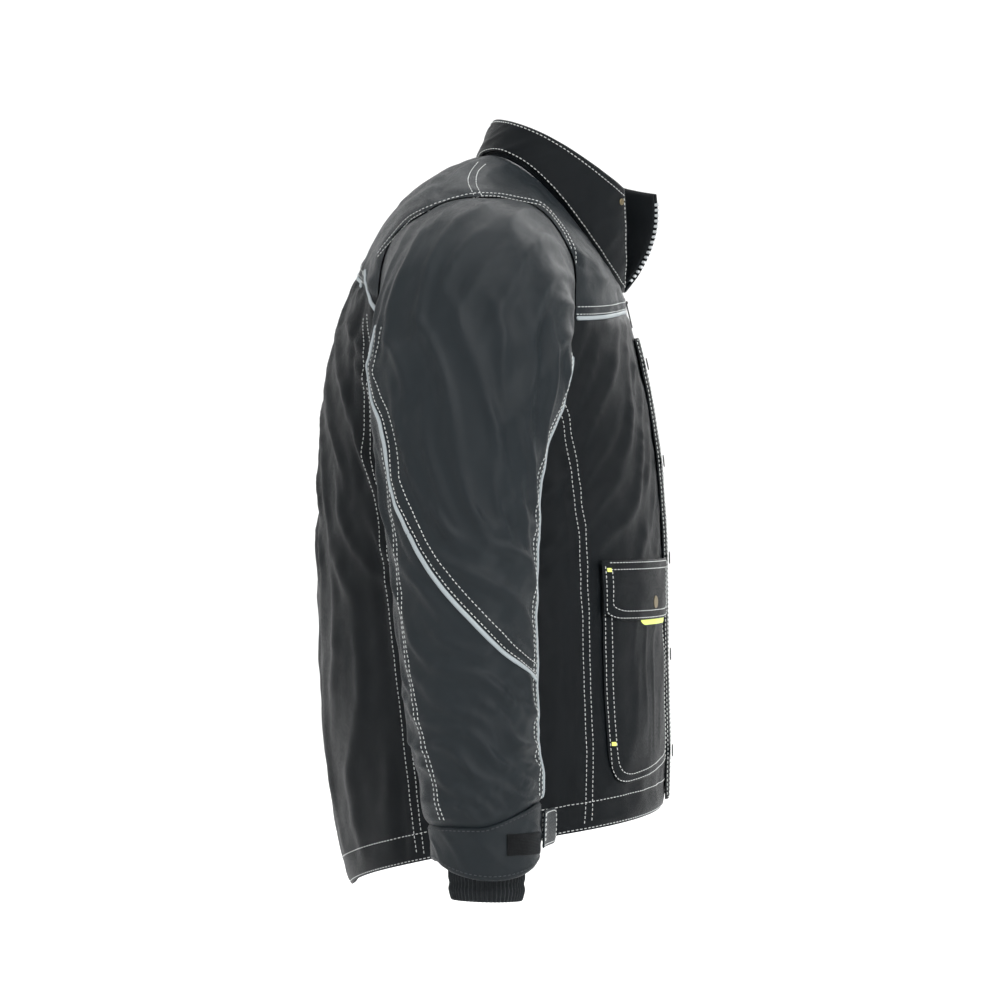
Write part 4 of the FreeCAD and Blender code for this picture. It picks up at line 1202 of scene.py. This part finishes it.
def make_collar():
    """The collar's outer and inner cloth, with the surface that its stitches lie on."""
    u, v = collar_grid(dense(0.0, 3.0, 26))
    q, n = place(collar, u, v)
    folds = 1.3 * crumple(u * 1.5, -q[..., 2], 62, 9.0, 42, 0.7) * (1 - smooth(2.2, 2.8, v))
    wave = folds + 0.5 * noise(q, 11.0)
    wave *= smooth(0, 6, np.abs(np.abs(u) - COLLAR_OPEN[1] * v / 3))
    q = q + n * wave[..., None]
    outer, tree = slab("collar_outer", q, n, -4.0, 0.3, "shell_dark", edge=4.0)
    worn(outer, "coat", "collar")
    u, v = collar_grid(dense(0.02, 2.94, 24), 0.5)
    q, n = place(collar, u, v)
    wave = 0.8 * crumple(u * 1.5, -q[..., 2], 40, 12.0, 40, 1.9) * (1 - smooth(2.0, 2.7, v))
    q = q + n * wave[..., None]
    inner, _ = slab("collar_lining_soft", q, n, -8.0, -4.2, "shell_dark", edge=4.5)
    worn(inner, "coat", "collar_lining")
    return tree


def collar_seam_lines(tree):
    lines = []
    for _, side in SIDES:
        top = [(a, 2.72) for a in (22.5, 40, 60, 80, 100, 120, 140, 160, 179.9)]
        foot = [(a, 0.16) for a in (5, 30, 60, 90, 120, 150, 179.9)]
        edge = [(collar_edge(r) + 3.6, r) for r in np.linspace(0.1, 2.75, 8)]
        lines += [seated(tree, trace(collar, mirrored(side, points))) for points in (top, foot, edge)]
    return lines


# a press stud's section from its middle outwards, as shares of its radius and of a quarter of its radius
STUD_SECTION = ((0.02, 1.15), (0.25, 1.12), (0.45, 0.95), (0.58, 0.62), (0.68, 0.6), (0.78, 1.0), (0.9, 1.1),
                (1.0, 0.8), (1.03, 0.3), (1.0, -0.6))


def button(name, at, n, radius, mat):
    """A domed press stud with a rolled ring round it, standing on a surface."""
    n = n / np.linalg.norm(n)
    a = np.cross(n, (0.0, 0.0, 1.0))
    a /= np.linalg.norm(a) + 1e-12
    b = np.cross(n, a)
    t = np.radians(np.arange(28) * 360 / 28)
    circle = a * np.cos(t)[:, None] + b * np.sin(t)[:, None]
    rows = [at + radius * r * circle + n * h * radius / 4 for r, h in STUD_SECTION]
    p = np.stack(rows, 1).reshape(-1, 3)
    faces = grid_faces(28, len(STUD_SECTION), True)
    if (vertex_normals(p, faces)[3] * n).sum() < 0:
        faces = faces[:, ::-1]
    return dress(make_mesh(name, p, faces), mat)


COLLAR_TREE = make_collar()
worn(sew("collar_stitching", collar_seam_lines(COLLAR_TREE)), "coat")
q, n = place(collar, np.array(-25.5), np.array(2.45))
pos, nrm, _ = seated(COLLAR_TREE, (q[None], n[None], np.zeros((1, 2))))
worn(button("collar_stud", pos[0], nrm[0], 3.3, "brass"), "coat")


# ---------------------------------------------------------------- hanger loop
def hanger():
    """A short tape that bows down between its ends, inside the neck."""
    u, v = np.meshgrid(dense(-1, 1, 40), dense(-0.5, 0.5, 6), indexing="ij")
    q = np.stack([u * 32.0, v * 8.0 + 5.0 * u ** 2, -9.0 * np.abs(u) ** 2.5 + 0.8], -1)
    n = np.zeros_like(q)
    n[..., 2] = 1.0
    loop, _ = slab("hanger_strap", q, n, -0.8, 0.8, "tape", edge=0.8)
    worn(loop, "coat", "hanger_loop")


hanger()

# ---------------------------------------------------------------- front: zip tapes, storm band and storm flap
STORM = {"hinge": 32.0, "root": 17.0, "free": -32.0, "top": -172.0, "bottom": -650.0}


def chest(x, z, depth=0.0):
    """The front at a width from the middle and about a height."""
    ring = halved(np.shape(z), NECK_RING, 28, lambda mid: on_ring(RINGS, 0.0, mid)[..., 2] < z)
    return body(np.sign(x) * width_angle(np.abs(x), ring), ring, depth)


def strip(name, x0, x1, top, bottom, low, high, mat, columns, rows, edge=1.0, wave=0.0, drop_at=None):
    """An upright band on the front, which may wave a little and dip at one width."""
    u, v = np.meshgrid(dense(x0, x1, columns), dense(bottom, top, rows), indexing="ij")
    q, n = place(chest, u, v)
    if wave:
        q = q + n * (wave * noise(q, 15.0, 1.0) + 0.6 * wave * noise(q * (1, 1, 0.4), 7.0))[..., None]
    if drop_at is not None:
        q = q - n * (2.8 * np.exp(-((u - drop_at) / 5.0) ** 2))[..., None]
    return slab(name, q, n, low, high, mat, edge=edge)


def storm_seam_lines(tree):
    top, bottom, free, root = (STORM[key] for key in ("top", "bottom", "free", "root"))
    heights = np.linspace(top - 3, bottom + 3, 20)
    uprights = [[(x, z) for z in heights] for x in (free + 2.2, free + 8.5, root - 2.5)]
    ends = [[(x, z) for x in np.linspace(free + 3, root - 3, 5)] for z in (top - 2.5, bottom + 2.5)]
    return [seated(tree, trace(chest, points)) for points in uprights + ends]


for name, side in SIDES:
    tape, _ = strip(f"zip_tape_cloth_{name}", side * 2.6, side * 13.5, -134.0, -650.0, -4.7, -3.8, "tape",
                    8, 140, 0.5)
    worn(tape, "coat", f"zip_tape_{name}")
band, _ = strip("storm_band_cloth", STORM["root"] + 1.5, STORM["hinge"] + 4, STORM["top"], STORM["bottom"],
                0.6, 2.7, "shell_dark", 8, 150, 1.2, 0.25)
worn(band, "coat", "storm_band")
flap, storm_tree = strip("storm_flap_cloth", STORM["free"], STORM["root"], STORM["top"], STORM["bottom"],
                         3.6, 5.6, "shell_dark", 22, 160, 1.6, 0.35, STORM["free"])
worn(flap, "storm_flap", "storm_flap")
worn(sew("storm_flap_stitching", storm_seam_lines(storm_tree)), "storm_flap")

# ---------------------------------------------------------------- pockets
POCKET = {"angles": (14.0, 57.0), "top": -412.0, "bottom": -616.0, "flap_top": -400.0, "flap_bottom": -460.0}
PULL_HALF, PULL_SHIFT, PULL_DROP = 12.0, -3.0, 5.5
STITCH_INSETS, MM_PER_DEGREE = (2.2, 9.0), 3.2


def on_chest(angle, z, depth=0.0):
    return body(angle, height_ring(np.abs(angle), z), depth)


def chest_slab(name, side, span, low, high, mat, grid, shape, calm, bulge=None, edge=1.4, over=None,
               lift=0.0):
    """A patch on the front that lies on the settled shell, and lift above the piece over. span is its first
    and last angle, its top and its bottom."""
    s, t = np.meshgrid(dense(0, 1, grid[0]), dense(0, 1, grid[1]), indexing="ij")
    a0, a1, top, bottom = span
    u, v = shape(s, t, mix(a0, a1, s), mix(bottom, top, t))
    q, n = place(on_chest, side * u, v)
    h = rested(BODY["tree"], q, n)
    if over is not None:
        above = rested(over, q, n, fill=-99.0)
        h = np.maximum(h, above + lift - low)
    h = np.maximum(blurred(h, calm), blurred(h, 1) - 0.2)
    extra = 0 if bulge is None else bulge(s, t)
    q = q + n * (h + extra)[..., None]
    return slab(name, q, n, low, high, mat, edge=edge)


def pocket_shape(s, t, u, v):
    """Rounds the pocket's outer lower corner and lets its foot rise a little towards the front."""
    corner = np.clip((s - 0.86) / 0.14, 0, 1) * np.clip((0.14 - t) / 0.14, 0, 1)
    return u - 1.9 * corner, v + 9.0 * corner + (8.0 - 17.0 * s) * (1 - t)


def pocket_bulge(s, t):
    """How full the pocket is, with its soft folds."""
    dome = np.sin(np.pi * s) * np.sin(np.pi * t)
    return 2.2 * dome ** 0.8 + 1.4 * crumple(s * 150, -t * 200, -20, 12.0, 60, 0.9) * dome


def near_end(s):
    """0 over most of a width and 1 at its two ends."""
    return 1 - np.minimum(1, np.minimum(s, 1 - s) / 0.12)


def pull_shape(s, t, u, v):
    """Rounds the pull's lower corners."""
    return u, v + 4.0 * near_end(s) ** 2 * (1 - t)


def flap_shape(s, t, u, v):
    """Cuts off the flap's lower corners."""
    return u, v + 8.0 * near_end(s) * (1 - t)


def flap_bulge(s, t):
    return 0.5 * noise(np.stack([s * 150, t * 60, s * 0], -1), 14.0)


def chest_line(tree, side, points):
    return seated(tree, trace(on_chest, mirrored(side, points)))


def bartack(name, tree, side, angle, z):
    """Close threads across a pair of seams, where they take the strain."""
    lines = []
    for k in range(5):
        ends = mirrored(side, ((angle - 2.9, z - k * 0.75), (angle - 0.4, z - k * 0.75 + 0.4)))
        lines.append(seated(tree, trace(on_chest, ends, 0.5), 0.2))
    return sew(name, lines, "yellow_thread", length=6.5, gap=0.2, radius=0.45)


def pocket_outline(inset):
    """A stitch line inside the pocket's edge, from its outer top corner round its foot."""
    a0, a1 = POCKET["angles"]
    da, foot, top = inset / MM_PER_DEGREE, POCKET["bottom"] + inset, POCKET["top"] - 2
    return ((a1 - da, top), (a1 - da, -470), (a1 - da, -540), (a1 - da, foot + 20), (a1 - da - 0.4, foot + 6),
            (a1 - da - 2.4, foot - 3.5), (a1 - da - 6, foot - 5.6), (mix(a0, a1, 0.5), foot - 0.5),
            (a0 + da + 3, foot + 6.6), (a0 + da + 0.6, foot + 9), (a0 + da, foot + 14), (a0 + da, -520),
            (a0 + da, top))


def flap_outlines(inset):
    """The stitch lines inside the flap's edge: round its sides and foot, and along its top."""
    a0, a1 = POCKET["angles"]
    da, low, top = inset / MM_PER_DEGREE, POCKET["flap_bottom"] + inset, POCKET["flap_top"] - inset
    left = [(a0 + da, top), (a0 + da, low + 24), (a0 + da, low + 8), (a0 + da + 5, low + 0.6)]
    right = [(a1 - da - 5, low + 0.6), (a1 - da, low + 8), (a1 - da, low + 24), (a1 - da, top)]
    return left + [(mix(a0, a1, 0.5), low)] + right, [(a, top) for a in np.linspace(a0 + 1, a1 - 1, 9)]


def make_pocket(name, side):
    """The patch pocket with its seams and its lower bartack."""
    a0, a1 = POCKET["angles"]
    span = (a0, a1, POCKET["top"], POCKET["bottom"])
    pocket, tree = chest_slab(f"pocket_patch_{name}", side, span, 0.5, 2.3, "shell_dark", (60, 84),
                              pocket_shape, 10, pocket_bulge)
    worn(pocket, "coat", f"pocket_{name}")
    lines = [chest_line(tree, side, pocket_outline(inset)) for inset in STITCH_INSETS]
    worn(sew(f"pocket_stitching_{name}", lines), "coat")
    worn(bartack(f"pocket_bartack_{name}", tree, side, a1, POCKET["bottom"] + 36), "coat")
    return tree


def make_flap(name, side, pocket_tree):
    """The pocket's flap and its pull, which lie on the pocket."""
    body_name = f"{name}_pocket_flap"
    a0, a1 = POCKET["angles"]
    top, bottom = POCKET["flap_top"], POCKET["flap_bottom"]
    flap, tree = chest_slab(f"pocket_flap_cloth_{name}", side, (a0 - 0.3, a1 + 0.3, top, bottom), 3.8, 5.9,
                            "shell_dark", (60, 26), flap_shape, 6, flap_bulge, edge=1.6, over=pocket_tree,
                            lift=1.0)
    worn(flap, body_name, f"pocket_flap_{name}")
    lines = [chest_line(tree, side, line) for inset in STITCH_INSETS for line in flap_outlines(inset)]
    worn(sew(f"flap_stitching_{name}", lines), body_name)
    worn(bartack(f"flap_bartack_{name}", tree, side, a1, top - 8), body_name)
    middle = mix(a0, a1, 0.44) + PULL_SHIFT
    span = (middle - PULL_HALF, middle + PULL_HALF, bottom + 7, bottom - PULL_DROP)
    pull, _ = chest_slab(f"flap_pull_tape_{name}", side, span, 3.0, 3.8, "yellow", (30, 12), pull_shape, 2,
                         edge=0.6, over=pocket_tree, lift=0.25)
    worn(pull, body_name, f"flap_pull_{name}")


for name, side in SIDES:
    make_flap(name, side, make_pocket(name, side))

# ---------------------------------------------------------------- cuffs, ribs, patches and tabs
PATCH_ANGLES, PATCH_RINGS = (11, 64), (11.02, 11.42)
RIB_COLUMNS, RIB_CORDS = 432, 54
TAB_RINGS, TAB_LONG, TAB_HALF_THICK = (10.62, 11.34), 50.0, 1.1
TAB_REST = math.radians(80.0)


def make_cuff(name, side):
    """The padded cuff band with its seams and its patch."""
    arm, body_name = arm_surface(side), f"{name}_forearm"
    t = dense(0, 1, 24)
    u = np.broadcast_to((np.arange(120) * 3.0)[:, None], (120, len(t)))
    v = cuff_seam(u) + (cuff_end(u) - cuff_seam(u)) * t
    q, n = place(arm, u, v)
    soft = np.sin(np.pi * np.clip(t, 0, 1)) ** 0.6
    folds = 1.6 * crumple((u + 180) % 360 * 1.2, v * 60, 55, 9.0, 36, 1.1 + side)
    q = q + n * ((1.2 + folds + 0.8 * noise(q, 9.0)) * soft - 0.6)[..., None]
    cuff, tree = slab(f"cuff_cloth_{name}", q, n, -4.4, 0.0, "shell", edge=3.0, closed=True, wrap=0.4)
    worn(cuff, body_name, f"cuff_{name}")
    around = np.linspace(0.5, 359.5, 60)
    seams = []
    for edge, off in ((cuff_seam, 0.07), (cuff_end, -0.09)):
        seams.append(seated(tree, trace(arm, [(a, float(edge(a)) + off) for a in around])))
    worn(sew(f"cuff_stitching_{name}", seams, "dark_thread"), body_name)
    u, v = np.meshgrid(dense(*PATCH_ANGLES, 20), dense(*PATCH_RINGS, 10), indexing="ij")
    q, n = place(arm, u, v)
    q = q + n * blurred(rested(tree, q, n), 4)[..., None]
    patch, _ = slab(f"cuff_patch_pile_{name}", q, n, 0.1, 1.6, "pile", edge=1.0)
    worn(patch, body_name, f"cuff_patch_{name}")


def make_rib(name, side):
    """The knitted rib, which hangs straight out of the cuff."""
    angles = np.arange(RIB_COLUMNS) * 360.0 / RIB_COLUMNS
    u, v = np.meshgrid(angles, np.linspace(-22, 18, 34), indexing="ij")
    q, n = place(arm_surface(side), u, np.full(u.shape, 11.95))
    q = q - n * (14.0 + 3.0 * smooth(2, 18, v))[..., None]
    q[..., 2] -= v
    n[..., 2] = 0
    n /= np.linalg.norm(n, axis=-1, keepdims=True)
    waist, swell = 1.2 * smooth(-6, 0, -np.abs(v - 2)), 1.2 * np.exp(-((v - 12) / 8.0) ** 2)
    cord = 0.75 * np.cos(np.radians(u) * RIB_CORDS) - waist + swell
    q = q + n * (cord + 0.6 * noise(q, 22.0))[..., None]
    rib, _ = slab(f"rib_knit_{name}", q, n, -3.0, 0.0, "rib", edge=2.2, closed=True, wrap=0.36)
    worn(rib, f"{name}_forearm", f"rib_cuff_{name}")


def tab_bend(r, h):
    """How far the tab bows out at a distance along it and a place across it."""
    return 1.6 * np.sin(r / TAB_LONG * math.pi) + 0.5 * np.sin(r / 9.0 + h)


def make_tab(name, side):
    """The adjusting tab, which stands out from the cuff at rest."""
    arm, body_name = arm_surface(side), f"{name}_cuff_tab"
    top, foot = (place(arm, np.array(0.0), np.array(r)) for r in TAB_RINGS)
    top, foot = top[0] + top[1] * 3, foot[0] + foot[1] * 3
    centre, along = (top + foot) / 2, foot - top
    long = np.linalg.norm(along) / 2
    along /= 2 * long
    out = np.array((-side * math.sin(TAB_REST), -math.cos(TAB_REST), 0.0))
    across = np.cross(out, along)
    across /= np.linalg.norm(across)
    r, h = np.meshgrid(dense(0.5, TAB_LONG, 26), dense(-1, 1, 18), indexing="ij")
    taper = 1 - 0.22 * np.clip((r - 43) / 7.0, 0, 1) ** 2
    q = centre + out * r[..., None] + along * (h * long * taper)[..., None]
    q = q + across * tab_bend(r, h)[..., None]
    n = np.broadcast_to(across, q.shape)
    tab, _ = slab(f"cuff_tab_strap_{name}", q, n, -TAB_HALF_THICK, TAB_HALF_THICK, "shell", edge=1.2)
    worn(tab, body_name, f"cuff_tab_{name}")
    k = 1 - 2.5 / long
    half = [(2.0, k), (20.0, k), (40.0, k), (46.0, k * 0.86)]
    outline = [(r, -h) for r, h in half] + [(47.6, 0.0)] + half[::-1]
    line = spline(np.array(outline), np.linspace(0, 8, 120))
    across_rows = [np.stack([np.full(40, r), np.linspace(-0.9, 0.9, 40)], -1) for r in (3.5, 8.5)]
    paths = []
    for face in (1.0, -1.0):
        for points in [line] + across_rows:
            r, h = points[:, :1], points[:, 1:]
            q = centre + out * r + along * (h * long) + across * (face * 1.15 + tab_bend(r, h))
            paths.append((q, np.broadcast_to(across * face, q.shape), points))
    worn(sew(f"tab_stitching_{name}", paths), body_name)


for name, side in SIDES:
    make_cuff(name, side)
    make_rib(name, side)
    make_tab(name, side)

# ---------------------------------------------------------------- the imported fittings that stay
CAD_LOOKS = {
    "zip_plastic": ("zip_teeth_left", "zip_teeth_right"),
    "zip_metal": ("zip_slider", "zip_pull", "zip_box"),
    "dark_enamel": ("storm_caps", "front_studs"),
    "brass": ("pocket_studs", "flap_cap_left", "flap_cap_right"),
}
for mat, node_names in CAD_LOOKS.items():
    for node_name in node_names:
        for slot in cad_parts[node_name].material_slots:
            slot.material = MATS[mat]


# ---------------------------------------------------------------- floor, light and camera
def area_light(name, where, target, size, power):
    data = bpy.data.lights.new(name, "AREA")
    data.shape = "RECTANGLE"
    data.size, data.size_y = size
    data.energy = power
    obj = bpy.data.objects.new(name, data)
    obj.location = where
    obj.rotation_euler = (Vector(target) - Vector(where)).to_track_quat("-Z", "Y").to_euler()
    bpy.context.collection.objects.link(obj)


FLOOR_HEIGHT, FLOOR_FLAT, SWEEP_RADIUS = -0.93, 5.2, 2.0


def sweep():
    """A pale floor that curves up behind the coat on every side."""
    n, rows = 96, []
    for k in range(22):
        t = k / 21
        rows.append((FLOOR_FLAT + SWEEP_RADIUS * math.sin(t * math.pi / 2),
                     FLOOR_HEIGHT + SWEEP_RADIUS * (1 - math.cos(t * math.pi / 2))))
    rows = [(0.01, FLOOR_HEIGHT), (2.5, FLOOR_HEIGHT)] + rows + [(FLOOR_FLAT + SWEEP_RADIUS, 6.0)]
    pts = [(r * math.cos(2 * math.pi * a / n) * 1000, r * math.sin(2 * math.pi * a / n) * 1000, z * 1000)
           for a in range(n) for r, z in rows]
    floor = make_mesh("floor", pts, grid_faces(n, len(rows), True))
    m, t, b = new_material("floor_paint")
    obj = node(t, "ShaderNodeTexCoord")
    grain = node(t, "ShaderNodeTexNoise", {"Vector": obj.outputs["Object"], "Scale": 3.0, "Detail": 3.0})
    col = ramp(t, grain.outputs["Fac"], ((0.3, (0.965, 0.965, 0.965)), (0.7, (0.985, 0.985, 0.985))))
    t.links.new(col.outputs[0], b.inputs["Base Color"])
    b.inputs["Roughness"].default_value = 0.9
    floor.data.materials.append(m)


sweep()
world = bpy.data.worlds.new("studio")
world.use_nodes = True
world.node_tree.nodes["Background"].inputs[0].default_value = (1.0, 1.0, 1.0, 1)
world.node_tree.nodes["Background"].inputs[1].default_value = 1.05
bpy.context.scene.world = world
bpy.context.scene.view_settings.view_transform = "Standard"
middle = Vector((0, -0.012, -0.340))
area_light("key", (-2.6, -2.2, 1.6), middle, (1.3, 1.3), 90)
area_light("fill", (-2.4, 2.6, 0.6), middle, (1.6, 1.6), 15)
area_light("top", (0.3, 0.2, 3.0), middle, (3.0, 3.0), 40)
area_light("far", (3.0, -1.0, 1.4), middle, (2.0, 2.0), 40)

turn, far = math.radians(3.5), 3.2
camera = bpy.data.objects.new("camera", bpy.data.cameras.new("camera"))
camera.data.lens = 109.7
camera.data.sensor_width = 36.0
camera.location = middle + Vector((-far * math.cos(turn), -far * math.sin(turn), 0))
camera.rotation_euler = (middle - camera.location).to_track_quat("-Z", "Y").to_euler()
bpy.context.collection.objects.link(camera)
bpy.context.scene.camera = camera
